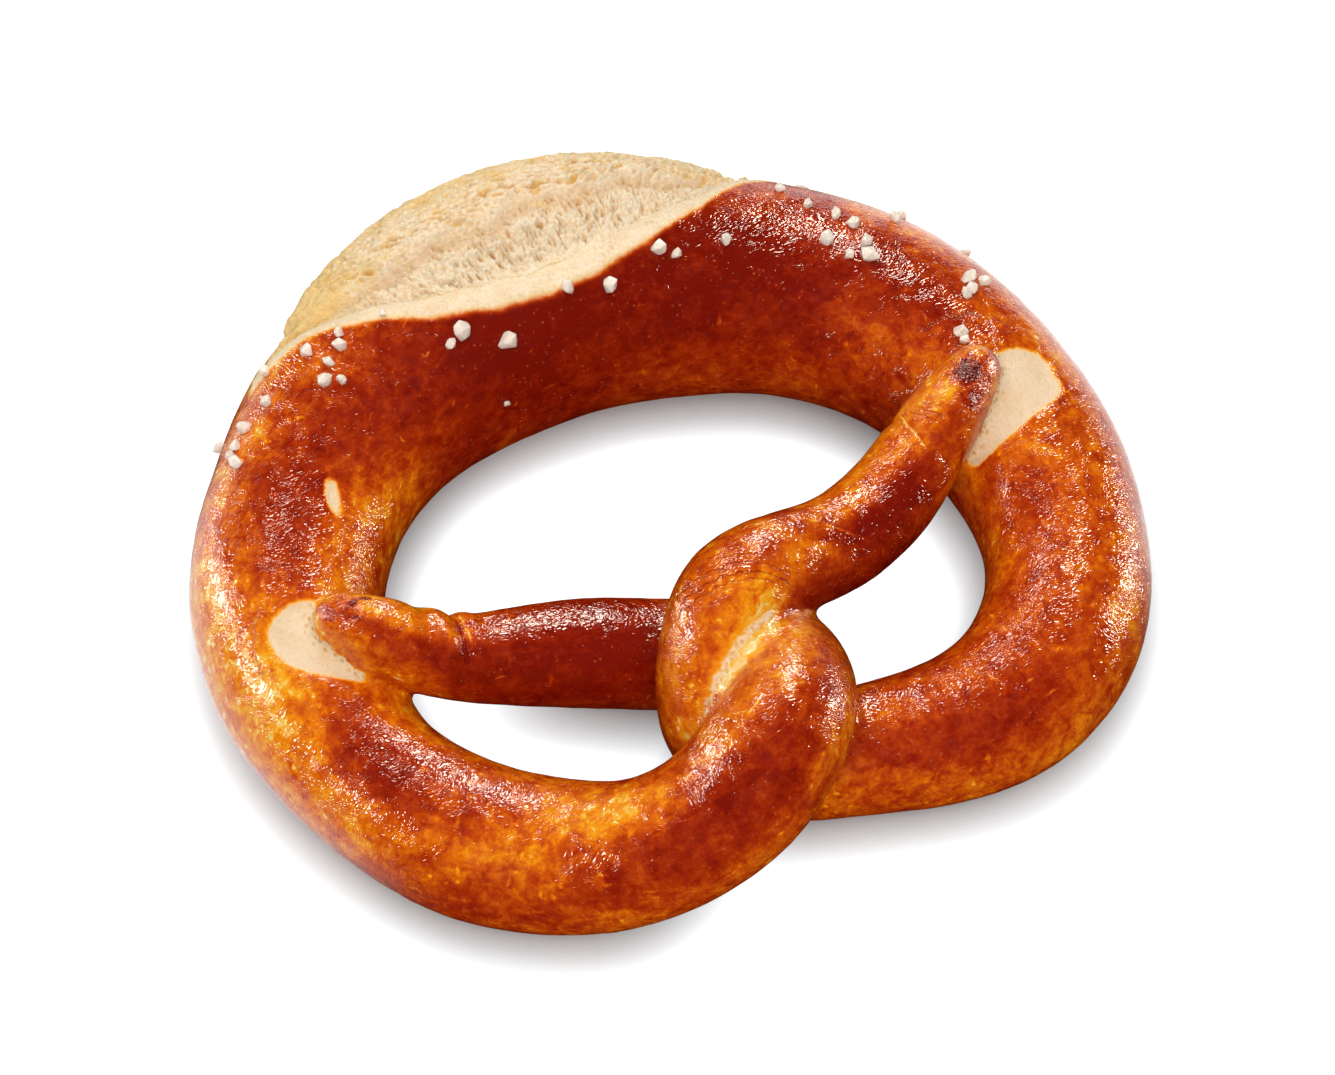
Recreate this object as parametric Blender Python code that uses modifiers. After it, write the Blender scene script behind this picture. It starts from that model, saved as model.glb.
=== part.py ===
"""A swabian pretzel: one baked rope of dough laid in a loop and twisted once, its thin ends
pressed onto its own sides, its fat belly split open at the top and strewn with coarse salt.

Frame: metres, +Z up. The pretzel lies on z = 0 on its flat underside, its belly towards +Y,
its twist towards -Y, and the origin is the middle of the floor that it covers.

The rope is given by stations along its centre line, from the tip of the left arm to the tip
of the right arm. A place on its skin is given by two numbers: millimetres along the rope from
the left tip, and degrees round it from the top, where plus is the side that Z x (direction of
the rope) points to: the outer side of the loop, and the belly's side of both arms.
"""

import math
from typing import NamedTuple

import bmesh
import bpy
import numpy as np
from mathutils import Matrix, Vector, noise

MM = 0.001
NODE = "pretzel"
COLLECTION = "swabian_pretzel"
SALT_COLLECTION = "salt_grains"

SECTION_SPACING = 1.5  # mm between two sections of the rope
SECTION_POINTS = 48
CAP_RINGS = 6
FUSE_VOXEL = 0.9  # mm, the step at which the rope is fused with itself
SOFTENING = 12  # rounds of smoothing that fill the creases where strands meet
EVENING = 2  # rounds of evening out of the relief
SKIN_TRIANGLES = 7200
FLAT_BAND = 0.45  # mm above the tray that baked flat onto it
SEED = 7


class Station(NamedTuple):
    """A section of the rope: its centre and half sizes in mm."""

    name: str
    x: float
    y: float
    z: float
    half_width: float
    half_height: float


ROPE = (
    Station("left_tip", -54.5, -3.0, 23.5, 4.8, 4.8),
    Station("left_knob", -51.0, -6.5, 23.0, 6.0, 6.0),
    Station("left_neck", -43.5, -11.5, 19.0, 6.8, 6.8),
    Station("left_arm_thin", -30.0, -15.5, 14.5, 8.0, 8.0),
    Station("left_arm_thick", -16.0, -19.0, 11.0, 8.8, 8.8),
    Station("under_right_strand", -4.0, -23.0, 8.5, 9.0, 9.0),
    Station("rising", 4.0, -29.0, 12.0, 9.2, 9.2),
    Station("twist_bump", 5.5, -40.5, 20.0, 9.4, 9.4),
    Station("over_right_strand", -3.0, -51.5, 24.0, 11.0, 10.6),
    Station("left_front_down", -12.5, -55.5, 19.0, 11.4, 10.2),
    Station("left_front_slope", -26.5, -55.0, 14.0, 11.6, 10.2),
    Station("left_front", -38.0, -48.5, 9.5, 12.6, 10.8),
    Station("left_near", -50.5, -38.5, 10.0, 12.8, 11.0),
    Station("left_near_knob", -59.0, -23.5, 9.5, 12.6, 10.8),
    Station("left_side", -62.0, -6.5, 11.0, 14.4, 12.2),
    Station("left_side_far", -59.0, 11.5, 12.0, 15.6, 13.2),
    Station("left_shoulder", -49.0, 26.5, 12.5, 16.6, 14.0),
    Station("belly_left", -33.0, 38.5, 15.5, 19.0, 16.4),
    Station("belly_mid_left", -14.0, 44.5, 18.5, 21.8, 19.6),
    Station("belly_middle", 4.0, 44.5, 19.0, 21.8, 20.2),
    Station("belly_right", 21.5, 39.5, 17.0, 20.0, 18.4),
    Station("right_top", 38.0, 31.5, 15.0, 18.2, 16.4),
    Station("right_shoulder", 51.5, 18.5, 14.0, 17.2, 15.2),
    Station("right_side_far", 59.0, 3.0, 12.5, 16.0, 13.8),
    Station("right_side", 61.5, -15.0, 11.5, 14.8, 12.8),
    Station("right_near_knob", 59.0, -31.5, 10.5, 13.6, 11.6),
    Station("right_low", 50.5, -45.5, 10.5, 13.4, 11.6),
    Station("right_front", 36.5, -53.0, 9.5, 12.6, 10.8),
    Station("right_front_thin", 22.0, -53.0, 9.0, 11.4, 10.0),
    Station("right_front_in", 11.0, -50.5, 9.0, 10.4, 9.4),
    Station("under_left_strand", 0.0, -46.5, 9.0, 9.6, 9.0),
    Station("wrap_low", -6.0, -41.5, 12.0, 9.0, 9.0),
    Station("wrap_high", -5.0, -33.0, 21.0, 8.8, 8.8),
    Station("over_left_strand", 3.5, -25.0, 25.0, 9.0, 9.0),
    Station("right_arm_thick", 18.5, -22.0, 22.0, 8.0, 8.0),
    Station("right_arm_thin", 33.0, -17.0, 20.0, 7.8, 7.8),
    Station("right_neck", 42.5, -11.5, 22.0, 7.0, 7.0),
    Station("right_knob", 50.0, -7.0, 25.0, 6.0, 6.0),
    Station("right_tip", 55.5, -4.0, 26.5, 4.4, 4.4),
)

# The burst of the belly: the crust's two lips, as (mm along, degrees round).
NEAR_LIP = (
    (236, 55), (241, 43), (245, 32), (250, 11), (259, -16), (269, -30), (278, -34),
    (287, -30), (296, -16), (306, 6), (313, 31), (319, 52),
)
FAR_LIP = (
    (236, 55), (242, 76), (252, 94), (265, 104), (278, 108), (292, 104), (304, 92),
    (313, 74), (319, 52),
)
# Across the burst, as (mm in from the near lip, mm of height over the full rope).
BURST_PROFILE = (
    (0, 0.3), (1, 0.1), (3.5, -1.2), (6, -2.4), (8.5, -2.1), (13, -0.3), (17, 0.5),
    (26, 0.7), (40, 0.3),
)
FAR_LIP_DIP = 0.9  # mm
LIP_ROLL = 0.35  # mm that the crust stands up beside its lip
FULL_BURST = 24.0  # mm between the lips from which the profile has its whole height


class Patch(NamedTuple):
    """A place where the crust tore beside a knob, sunk a little, in mm and degrees."""

    along: float
    round_deg: float
    half_along: float
    half_round_deg: float
    depth: float


PATCHES = (
    Patch(191.5, -4, 8.5, 24, 0.8),
    Patch(369.5, 2, 6.5, 38, 0.8),
    Patch(222.0, -24, 3.2, 6, 0.5),
)


class Fold(NamedTuple):
    """A crease round the rope, its place moving along with the degrees round it."""

    along: float
    slant: float
    half_width: float
    height: float


FOLDS = (
    Fold(13.9, -0.057, 1.1, -0.9),
    Fold(10.6, -0.05, 1.3, 0.35),
    Fold(17.4, -0.05, 1.2, 0.3),
    Fold(19.6, -0.05, 0.9, -0.3),
    Fold(539.5, 0.01, 0.8, -0.45),
)

LUMP_HEIGHT = 0.35  # mm
LUMP_LENGTH = 17.0  # mm

# Coarse salt: (mm along, degrees round, mm across).
SALT = (
    (224.0, 40, 2.8), (225.5, 48, 1.8), (227.5, 46, 2.4), (230.0, 44, 2.9),
    (235.0, 34, 2.1), (240.0, 46, 2.5), (241.0, 6, 3.0), (241.8, -2, 2.1),
    (243.4, 9, 2.6), (243.2, 24, 2.5), (246.2, 9, 2.7), (248.0, 13, 2.2),
    (253.6, 1, 1.7), (259.0, -31, 2.3), (262.5, -30, 3.6), (267.8, -45, 3.9),
    (262.2, -71, 1.3), (281.8, -34, 2.5), (288.6, -36, 2.8), (298.2, -20, 2.9),
    (300.4, -22, 2.2), (310.8, -12, 2.2), (319.0, 33, 2.2), (323.8, 22, 2.1),
    (328.4, 21, 2.4), (331.6, 18, 2.6), (328.8, 1, 2.8), (332.2, -4, 2.2),
    (334.9, 8, 2.6), (335.4, 0, 3.4), (336.4, 40, 2.6), (348.6, 26, 2.9),
    (350.2, 20, 2.4), (350.6, 15, 2.2), (351.4, 34, 2.5), (354.6, -6, 2.7),
    (357.3, -8, 2.3), (336.0, 62, 2.4), (344.0, 70, 2.2), (262.0, 116, 2.5),
    (288.0, 118, 2.3), (246.0, 100, 2.4), (322.0, 76, 2.6), (228.0, 74, 2.3),
)
SALT_CORNERS = 16
SALT_PROUD = 0.22  # of its size, how far a grain's middle stands off the crust
GOLDEN_TURN = math.pi * (3 - math.sqrt(5))


def natural_spline(knots, rows, at):
    """Rows of values at the places at, on a natural cubic spline through rows at knots."""
    gap = np.diff(knots)
    count = len(knots)
    bend = np.eye(count)
    pull = np.zeros((count, rows.shape[1]))
    for i in range(1, count - 1):
        bend[i, i - 1 : i + 2] = gap[i - 1], 2 * (gap[i - 1] + gap[i]), gap[i]
        pull[i] = 6 * ((rows[i + 1] - rows[i]) / gap[i] - (rows[i] - rows[i - 1]) / gap[i - 1])
    second = np.linalg.solve(bend, pull)
    k = np.clip(np.searchsorted(knots, at) - 1, 0, count - 2)
    width = gap[k][:, None]
    past = (at - knots[k])[:, None]
    left = width - past
    cubic = (second[k] * left**3 + second[k + 1] * past**3) / (6 * width)
    low = (rows[k] / width - second[k] * width / 6) * left
    high = (rows[k + 1] / width - second[k + 1] * width / 6) * past
    return cubic + low + high


def unit(rows):
    """Each row at length one."""
    return rows / np.linalg.norm(rows, axis=1)[:, None]


class Rope:
    """Evenly spaced sections along the stations, in mm."""

    def __init__(self):
        """Lays the spline through the stations and reads its sections."""
        rows = np.array([station[1:] for station in ROPE])
        steps = np.linalg.norm(np.diff(rows[:, :3], axis=0), axis=1)
        knots = np.concatenate(([0.0], np.cumsum(steps)))
        count = int(knots[-1] / SECTION_SPACING) + 1
        read = natural_spline(knots, rows, np.linspace(0, knots[-1], count))
        self.centre = read[:, :3]
        self.half = read[:, 3:]
        self.ahead = unit(np.gradient(self.centre, axis=0))
        self.out = unit(np.cross((0.0, 0.0, 1.0), self.ahead))
        self.up = np.cross(self.ahead, self.out)
        steps = np.linalg.norm(np.diff(self.centre, axis=0), axis=1)
        self.along = np.concatenate(([0.0], np.cumsum(steps)))

    def ring(self, i, shift=0.0, scale=1.0):
        """Points of section i, moved ahead by shift mm and scaled."""
        turn = np.linspace(0, 2 * math.pi, SECTION_POINTS, endpoint=False)[:, None]
        side = self.half[i, 0] * np.sin(turn) * self.out[i]
        rise = self.half[i, 1] * np.cos(turn) * self.up[i]
        return self.centre[i] + shift * self.ahead[i] + scale * (side + rise)

    def rings(self):
        """All rings from end to end, with the rounded caps, and the two end points."""
        reach = self.half[[0, -1], 0]
        turns = [math.pi / 2 * k / CAP_RINGS for k in range(1, CAP_RINGS)]
        first = [self.ring(0, -reach[0] * math.sin(t), math.cos(t)) for t in reversed(turns)]
        last = [self.ring(-1, reach[1] * math.sin(t), math.cos(t)) for t in turns]
        body = [self.ring(i) for i in range(len(self.along))]
        ends = (
            self.centre[0] - reach[0] * self.ahead[0],
            self.centre[-1] + reach[1] * self.ahead[-1],
        )
        return first + body + last, ends

    def place(self, along, round_deg):
        """Point and outward direction of the full rope's skin at a place."""
        i = int(np.argmin(np.abs(self.along - along)))
        turn = math.radians(round_deg)
        width, height = self.half[i]
        offset = width * math.sin(turn) * self.out[i] + height * math.cos(turn) * self.up[i]
        facing = math.sin(turn) / width * self.out[i] + math.cos(turn) / height * self.up[i]
        return self.centre[i] + offset, facing / np.linalg.norm(facing)

    def coordinates(self, points):
        """Mm along and degrees round of the strand whose skin each point lies on."""
        along = np.empty(len(points))
        round_deg = np.empty(len(points))
        for start in range(0, len(points), 4000):
            part = points[start : start + 4000]
            offset = part[:, None] - self.centre[None]
            side = np.einsum("ijk,jk->ij", offset, self.out) / self.half[:, 0]
            rise = np.einsum("ijk,jk->ij", offset, self.up) / self.half[:, 1]
            ahead = np.einsum("ijk,jk->ij", offset, self.ahead)
            reach = side**2 + rise**2 + (ahead / self.half[:, 1]) ** 2
            best = np.argmin(reach, axis=1)
            row = np.arange(len(part))
            along[start : start + 4000] = self.along[best] + ahead[row, best]
            turn = np.arctan2(side[row, best], rise[row, best])
            round_deg[start : start + 4000] = np.degrees(turn)
        return along, round_deg

    def half_height_at(self, along):
        """Half height of the section at each place along."""
        return np.interp(along, self.along, self.half[:, 1])


def swept_mesh(rope):
    """One closed tube through all rings, its two ends closed to a point."""
    rings, ends = rope.rings()
    points = np.concatenate(rings + [np.array(ends)])
    points[:, 2] = np.maximum(points[:, 2], 0.0)
    n = SECTION_POINTS
    faces = []
    for i in range(len(rings) - 1):
        for j in range(n):
            k = (j + 1) % n
            faces.append((i * n + j, i * n + k, (i + 1) * n + k, (i + 1) * n + j))
    first, last = len(points) - 2, len(points) - 1
    end = (len(rings) - 1) * n
    for j in range(n):
        k = (j + 1) % n
        faces.append((first, k, j))
        faces.append((last, end + j, end + k))
    mesh = bpy.data.meshes.new(NODE)
    mesh.from_pydata((points * MM).tolist(), [], faces)
    bm = bmesh.new()
    bm.from_mesh(mesh)
    bmesh.ops.recalc_face_normals(bm, faces=bm.faces)
    bm.to_mesh(mesh)
    bm.free()
    return mesh


def bake_modifiers(obj):
    """Replaces the object's mesh by the one that its modifiers make."""
    depsgraph = bpy.context.evaluated_depsgraph_get()
    made = bpy.data.meshes.new_from_object(obj.evaluated_get(depsgraph))
    old = obj.data
    obj.modifiers.clear()
    obj.data = made
    bpy.data.meshes.remove(old)


def fuse_with_itself(obj):
    """Turns the tube, which crosses and touches itself, into one closed skin."""
    remesh = obj.modifiers.new("fuse", "REMESH")
    remesh.mode = "VOXEL"
    remesh.voxel_size = FUSE_VOXEL * MM
    smooth = obj.modifiers.new("soften", "SMOOTH")
    smooth.factor = 0.5
    smooth.iterations = SOFTENING
    bake_modifiers(obj)


def smooth_step(low, high, value):
    """0 under low, 1 over high, and an even s-curve between them."""
    t = np.clip((value - low) / (high - low), 0.0, 1.0)
    return t * t * (3 - 2 * t)


def lip_degrees(lip, along):
    """Degrees round of a lip at each place along."""
    knots, values = np.array(lip, float).T
    return np.interp(along, knots, values)


def burst_relief(rope, along, round_deg):
    """Height in mm of the torn crumb and of the crust's lips beside it."""
    turned = np.where(round_deg < -120, round_deg + 360, round_deg)
    mm_per_degree = math.radians(1) * rope.half_height_at(along)
    inside = (along > NEAR_LIP[0][0]) & (along < NEAR_LIP[-1][0])
    from_near = (turned - lip_degrees(NEAR_LIP, along)) * mm_per_degree
    from_far = (lip_degrees(FAR_LIP, along) - turned) * mm_per_degree
    fullness = smooth_step(0.0, FULL_BURST, from_near + from_far)
    step, height = np.array(BURST_PROFILE, float).T
    crumb = np.interp(from_near, step, height) - FAR_LIP_DIP * np.exp(-((from_far / 2.5) ** 2))
    crumb *= fullness
    nearest = np.minimum(from_near, from_far)
    roll = LIP_ROLL * fullness * np.exp(-((nearest / 1.6) ** 2))
    return np.where(inside, np.where(nearest > 0, crumb, roll), 0.0)


def patch_relief(patch, along, round_deg):
    """Depth in mm of one torn patch, even in its middle and sharp at its rim."""
    x = (along - patch.along) / patch.half_along
    y = (round_deg - patch.round_deg) / patch.half_round_deg
    return -patch.depth * smooth_step(1.1, 0.85, np.hypot(x, y))


def fold_relief(fold, along, round_deg):
    """Height in mm of one crease round the rope."""
    offset = along - fold.along - fold.slant * round_deg
    return fold.height * np.exp(-((offset / fold.half_width) ** 2))


def lump_relief(points):
    """Height in mm of the slow unevenness of hand-laid dough."""
    return np.array([LUMP_HEIGHT * noise.noise(Vector(p) / LUMP_LENGTH) for p in points])


def read_points(mesh, of, name):
    """Rows of a vector of each vertex."""
    values = np.empty(3 * len(of))
    of.foreach_get(name, values)
    return values.reshape(-1, 3)


def write_points(mesh, points_mm):
    """Sets the places of the vertices."""
    mesh.vertices.foreach_set("co", (points_mm * MM).ravel())
    mesh.update()


def even_out(mesh, height):
    """The heights, each drawn towards its neighbours so that none jumps where strands meet."""
    edges = np.empty(2 * len(mesh.edges), int)
    mesh.edges.foreach_get("vertices", edges)
    first, second = edges.reshape(-1, 2).T
    count = np.bincount(edges, minlength=len(height))
    for _ in range(EVENING):
        pull = np.bincount(first, height[second], len(height))
        pull += np.bincount(second, height[first], len(height))
        height = 0.5 * height + 0.5 * pull / count
    return height


def raise_relief(obj, rope):
    """Moves the fused skin by its relief and beds it flat on the tray."""
    mesh = obj.data
    points = read_points(mesh, mesh.vertices, "co") / MM
    normals = read_points(mesh, mesh.vertex_normals, "vector")
    along, round_deg = rope.coordinates(points)
    height = lump_relief(points) + burst_relief(rope, along, round_deg)
    for patch in PATCHES:
        height += patch_relief(patch, along, round_deg)
    for fold in FOLDS:
        height += fold_relief(fold, along, round_deg)
    points += normals * even_out(mesh, height)[:, None]
    bedded = (points[:, 2] < FLAT_BAND) & (normals[:, 2] < -0.3)
    points[:, 2] = np.where(bedded, 0.0, np.maximum(points[:, 2], 0.0))
    write_points(mesh, points)


def thin_out(obj):
    """Keeps the skin to few triangles and its underside exactly flat."""
    obj.data.calc_loop_triangles()
    decimate = obj.modifiers.new("thin", "DECIMATE")
    decimate.ratio = SKIN_TRIANGLES / len(obj.data.loop_triangles)
    decimate.use_collapse_triangulate = True
    bake_modifiers(obj)
    mesh = obj.data
    points = read_points(mesh, mesh.vertices, "co") / MM
    points[:, 2] = np.where(points[:, 2] < 0.12, 0.0, points[:, 2])
    write_points(mesh, points)


def grain_mesh(size, chance):
    """A blocky worn crystal of salt, as the hull of a few evenly spread corners."""
    step = np.arange(SALT_CORNERS) + 0.5
    height = 1 - 2 * step / SALT_CORNERS
    turn = GOLDEN_TURN * step + chance.uniform(0, 2 * math.pi)
    radius = np.sqrt(1 - height**2)
    corners = np.stack((radius * np.cos(turn), radius * np.sin(turn), height), axis=1)
    corners = unit(corners + chance.normal(0, 0.12, corners.shape))
    corners /= np.abs(corners).max(axis=1)[:, None] ** 0.6
    corners *= size / 2 * np.array((1.0, chance.uniform(0.8, 0.95), chance.uniform(0.75, 0.9)))
    bm = bmesh.new()
    for corner in corners:
        bm.verts.new(corner * MM)
    made = bmesh.ops.convex_hull(bm, input=bm.verts)
    spare = [v for v in made["geom_interior"] if isinstance(v, bmesh.types.BMVert)]
    bmesh.ops.delete(bm, geom=spare, context="VERTS")
    bmesh.ops.recalc_face_normals(bm, faces=bm.faces)
    mesh = bpy.data.meshes.new("grain")
    bm.to_mesh(mesh)
    bm.free()
    return mesh


def strew_salt(skin, rope, collection):
    """Puts each grain on the skin below its place, a third of it sunk in."""
    chance = np.random.default_rng(SEED)
    for along, round_deg, size in sorted(SALT, key=lambda grain: -grain[2]):
        point, facing = rope.place(along, round_deg)
        start = Vector((point + 6 * facing) * MM)
        found, hit, _, _ = skin.ray_cast(start, -Vector(facing))
        spin = chance.uniform(0, 2 * math.pi)
        grain = bpy.data.objects.new("grain", grain_mesh(size, chance))
        middle = (hit if found else Vector(point * MM)) + Vector(facing) * SALT_PROUD * size * MM
        stand = Vector(facing).to_track_quat("Z", "Y").to_matrix().to_4x4()
        grain.matrix_world = Matrix.Translation(middle) @ stand @ Matrix.Rotation(spin, 4, "Z")
        grain.hide_render = True
        grain.display_type = "WIRE"
        collection.objects.link(grain)


def fuse_salt(obj, collection):
    """Joins all grains to the crust as one solid and clears the loose ones away."""
    join = obj.modifiers.new("salt", "BOOLEAN")
    join.operation = "UNION"
    join.operand_type = "COLLECTION"
    join.collection = collection
    join.solver = "EXACT"
    bake_modifiers(obj)
    for grain in list(collection.objects):
        mesh = grain.data
        bpy.data.objects.remove(grain)
        bpy.data.meshes.remove(mesh)
    bpy.data.collections.remove(collection)


def crust_material():
    """Plain browned crust."""
    material = bpy.data.materials.new("browned_crust")
    material.use_nodes = True
    surface = material.node_tree.nodes["Principled BSDF"]
    surface.inputs["Base Color"].default_value = (0.36, 0.09, 0.015, 1.0)
    surface.inputs["Roughness"].default_value = 0.35
    return material


def new_collection(name):
    """A collection of that name, linked to the scene."""
    collection = bpy.data.collections.new(name)
    bpy.context.scene.collection.children.link(collection)
    return collection


def main():
    """Builds the pretzel from nothing."""
    for obj in list(bpy.data.objects):
        bpy.data.objects.remove(obj)
    rope = Rope()
    pretzel = bpy.data.objects.new(NODE, swept_mesh(rope))
    new_collection(COLLECTION).objects.link(pretzel)
    fuse_with_itself(pretzel)
    raise_relief(pretzel, rope)
    thin_out(pretzel)
    salt = new_collection(SALT_COLLECTION)
    strew_salt(pretzel, rope, salt)
    fuse_salt(pretzel, salt)
    pretzel.data.materials.clear()
    pretzel.data.materials.append(crust_material())
    pretzel.data.shade_smooth()


main()
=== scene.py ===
"""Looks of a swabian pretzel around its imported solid.

The pretzel lies on z = 0, belly towards +Y, twist towards -Y. Its skin is swept along the same
stations as the solid's, fused with itself at a finer step and given its small relief. The torn
crumb of the burst belly and the coarse salt are pieces of their own. Places on the skin are
given in millimetres along the rope from the left tip and in degrees round it from the top,
where plus is the outer side of the loop, and the belly's side of both arms.
"""

import logging
import math
from dataclasses import dataclass, field
from enum import Enum
from typing import Sequence, Union

import bmesh
import bpy
import numpy as np
from mathutils import Matrix, Quaternion, Vector, noise
from mathutils.bvhtree import BVHTree


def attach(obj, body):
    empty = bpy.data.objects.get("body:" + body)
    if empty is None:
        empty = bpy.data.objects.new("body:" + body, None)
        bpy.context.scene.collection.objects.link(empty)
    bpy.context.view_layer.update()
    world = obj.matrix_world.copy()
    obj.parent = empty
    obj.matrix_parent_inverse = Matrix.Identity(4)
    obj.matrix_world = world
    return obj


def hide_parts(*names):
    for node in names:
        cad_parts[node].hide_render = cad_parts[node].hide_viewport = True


MM = 0.001
NODE = "pretzel"
BODY = "root"
FAR_OFF = 50.0

Pair = tuple[float, float]
Triple = tuple[float, float, float]
Array = np.ndarray
Faces = list[tuple[int, ...]]
Socket = bpy.types.NodeSocket
Fed = Union[Socket, float, Sequence[float]]

log = logging.getLogger("pretzel")
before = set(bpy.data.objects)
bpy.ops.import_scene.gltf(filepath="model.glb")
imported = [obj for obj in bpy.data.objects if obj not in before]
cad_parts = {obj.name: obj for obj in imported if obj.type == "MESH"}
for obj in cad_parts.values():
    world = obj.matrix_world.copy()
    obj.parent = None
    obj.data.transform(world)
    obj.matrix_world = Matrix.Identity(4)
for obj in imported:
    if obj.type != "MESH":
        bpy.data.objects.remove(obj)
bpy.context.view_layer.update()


class Mark(Enum):
    """Names of what each point of a mesh remembers for its finish."""

    BROWNING = "browning"
    LIP = "lip_mm"
    TORN = "torn_mm"
    SEAM = "seam_mm"
    BURNT = "burnt"
    FLOW = "flow_mm"
    # How much painted shade darkens a point of the crumb or of bare dough.
    PAINTED_SHADE = "hollow"
    TOAST = "toast"
    TINT = "tint"


class Glow(Enum):
    """What a lamp is there for."""

    SHEEN = "seen in the gloss"
    FILL = "soft light alone"


@dataclass(frozen=True)
class Section:
    """One section of the rope: its centre and half sizes in mm."""

    name: str
    x: float
    y: float
    z: float
    half_width: float
    half_height: float


@dataclass(frozen=True)
class BrownSpot:
    """How brown the crust is about one place: 0 bare dough, 1 burnt."""

    name: str
    along: float
    round_deg: float
    browning: float


@dataclass(frozen=True)
class TornPatch:
    """A place where the crust tore: its outline in mm along and degrees round, sunk a little."""

    name: str
    outline: tuple[Pair, ...]
    depth: float
    margin: float = 6.0
    side_deg: float = 100.0

    def inside_mm(self, along: Array, round_deg: Array, mm_per_degree: Array) -> Array:
        """Distance in mm inside the outline, minus outside it.

        Args:
            along: mm along the rope of each point.
            round_deg: degrees round the rope of each point.
            mm_per_degree: mm on the skin that a degree round is there.

        Returns:
            One distance for each point.
        """
        distance = np.full(len(along), FAR_OFF)
        first, last = min(self.outline)[0] - self.margin, max(self.outline)[0] + self.margin
        facing = np.abs(round_deg) < self.side_deg
        near = np.flatnonzero((along > first) & (along < last) & facing)
        scale = mm_per_degree[near]
        place = np.stack((along[near], round_deg[near] * scale), axis=1)
        nearest = np.full(len(near), FAR_OFF)
        inside = np.zeros(len(near), bool)
        for (a0, r0), (a1, r1) in zip(self.outline, self.outline[1:] + self.outline[:1]):
            start = np.stack((np.full(len(near), a0), r0 * scale), axis=1)
            edge = np.stack((np.full(len(near), a1 - a0), (r1 - r0) * scale), axis=1)
            offset = place - start
            share = np.clip((offset * edge).sum(1) / (edge**2).sum(1), 0.0, 1.0)
            nearest = np.minimum(nearest, np.linalg.norm(offset - edge * share[:, None], axis=1))
            if a0 != a1:
                between = (a0 > place[:, 0]) != (a1 > place[:, 0])
                turn = r0 + (place[:, 0] - a0) / (a1 - a0) * (r1 - r0)
                inside ^= between & (round_deg[near] < turn)
        distance[near] = nearest
        sign = np.full(len(along), -1.0)
        sign[near[inside]] = 1.0
        return distance * sign


@dataclass(frozen=True)
class SeamLine:
    """A line of stretched pale dough, through places in mm along and degrees round."""

    line: tuple[Pair, ...]
    half_width: float

    def distance(self, along: Array, round_deg: Array, mm_per_degree: Array) -> Array:
        """Distance in mm from the line's edge, minus inside it.

        Args:
            along: mm along the rope of each point.
            round_deg: degrees round the rope of each point.
            mm_per_degree: mm on the skin that a degree round is there.

        Returns:
            One distance for each point.
        """
        nearest = np.full(len(along), FAR_OFF)
        for (a0, r0), (a1, r1) in zip(self.line, self.line[1:]):
            run, rise = a1 - a0, (r1 - r0) * mm_per_degree
            x, y = along - a0, (round_deg - r0) * mm_per_degree
            share = np.clip((x * run + y * rise) / (run**2 + rise**2), 0.0, 1.0)
            nearest = np.minimum(nearest, np.hypot(x - run * share, y - rise * share))
        return nearest - self.half_width


@dataclass(frozen=True)
class BurntMark:
    """A burnt place near a tip: its middle, its reach along and round and how burnt it is."""

    along: float
    round_deg: float
    reach: float
    reach_deg: float
    depth: float

    def strength(self, along: Array, round_deg: Array) -> Array:
        """How burnt each point is.

        Args:
            along: mm along the rope of each point.
            round_deg: degrees round the rope of each point.

        Returns:
            One value from 0 to 1 for each point.
        """
        x = (along - self.along) / self.reach
        y = (round_deg - self.round_deg) / self.reach_deg
        return self.depth * np.exp(-(x**2) - y**2)


@dataclass(frozen=True)
class Join:
    """A stretch where two strands baked into one: its middle and reach along and round."""

    along: float
    round_deg: float
    reach: float
    reach_deg: float

    def strength(self, along: Array, round_deg: Array) -> Array:
        """How far each point belongs to the stretch, 0 to 1.

        Args:
            along: mm along the rope of each point.
            round_deg: degrees round the rope of each point.

        Returns:
            One value for each point.
        """
        x = (along - self.along) / self.reach
        y = (round_deg - self.round_deg) / self.reach_deg
        return smooth_step(1.0, 0.7, np.hypot(x, y))


@dataclass(frozen=True)
class Fold:
    """A crease round the rope's top, its place moving along with the degrees round it."""

    along: float
    slant: float
    half_width: float
    height: float
    ends_deg: Pair = (95.0, 55.0)

    def relief(self, along: Array, round_deg: Array) -> Array:
        """Height in mm of the crease at each place along and round."""
        height = self.height * hump(along - self.slant * round_deg, self.along, self.half_width)
        return height * smooth_step(*self.ends_deg, np.abs(round_deg))


def smooth_step(low: float, high: float, value: Array) -> Array:
    """An even s-curve from 0 at low to 1 at high, which may be under low."""
    t = np.clip((value - low) / (high - low), 0.0, 1.0)
    return t * t * (3 - 2 * t)


def hump(value: Array, middle: float, width: float) -> Array:
    """A bell curve that is 1 at its middle and about a third one width off it."""
    return np.exp(-(((value - middle) / width) ** 2))


def stretch(points: Array, along: float, across: float) -> Array:
    """Places with their first two numbers drawn out or pressed together."""
    return points * np.array((along, across, 1.0))


def unit(rows: Array) -> Array:
    """Each row at length one."""
    return rows / np.linalg.norm(rows, axis=1)[:, None]


def uneven(points: Array, length: float, octaves: int = 1, shift: float = 0.0) -> Array:
    """Smooth seeded noise at each point.

    Args:
        points: places in mm.
        length: mm from one hump to the next.
        octaves: how many finer layers are added.
        shift: moves the pattern, so that two uses differ.

    Returns:
        One value from about -1 to 1 for each point.
    """
    rows = (points / length + shift).tolist()
    if octaves == 1:
        return np.array([noise.noise(row) for row in rows])
    roughness, finer = 0.9, 2.1
    return np.array([noise.fractal(row, roughness, finer, octaves) for row in rows])


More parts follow.
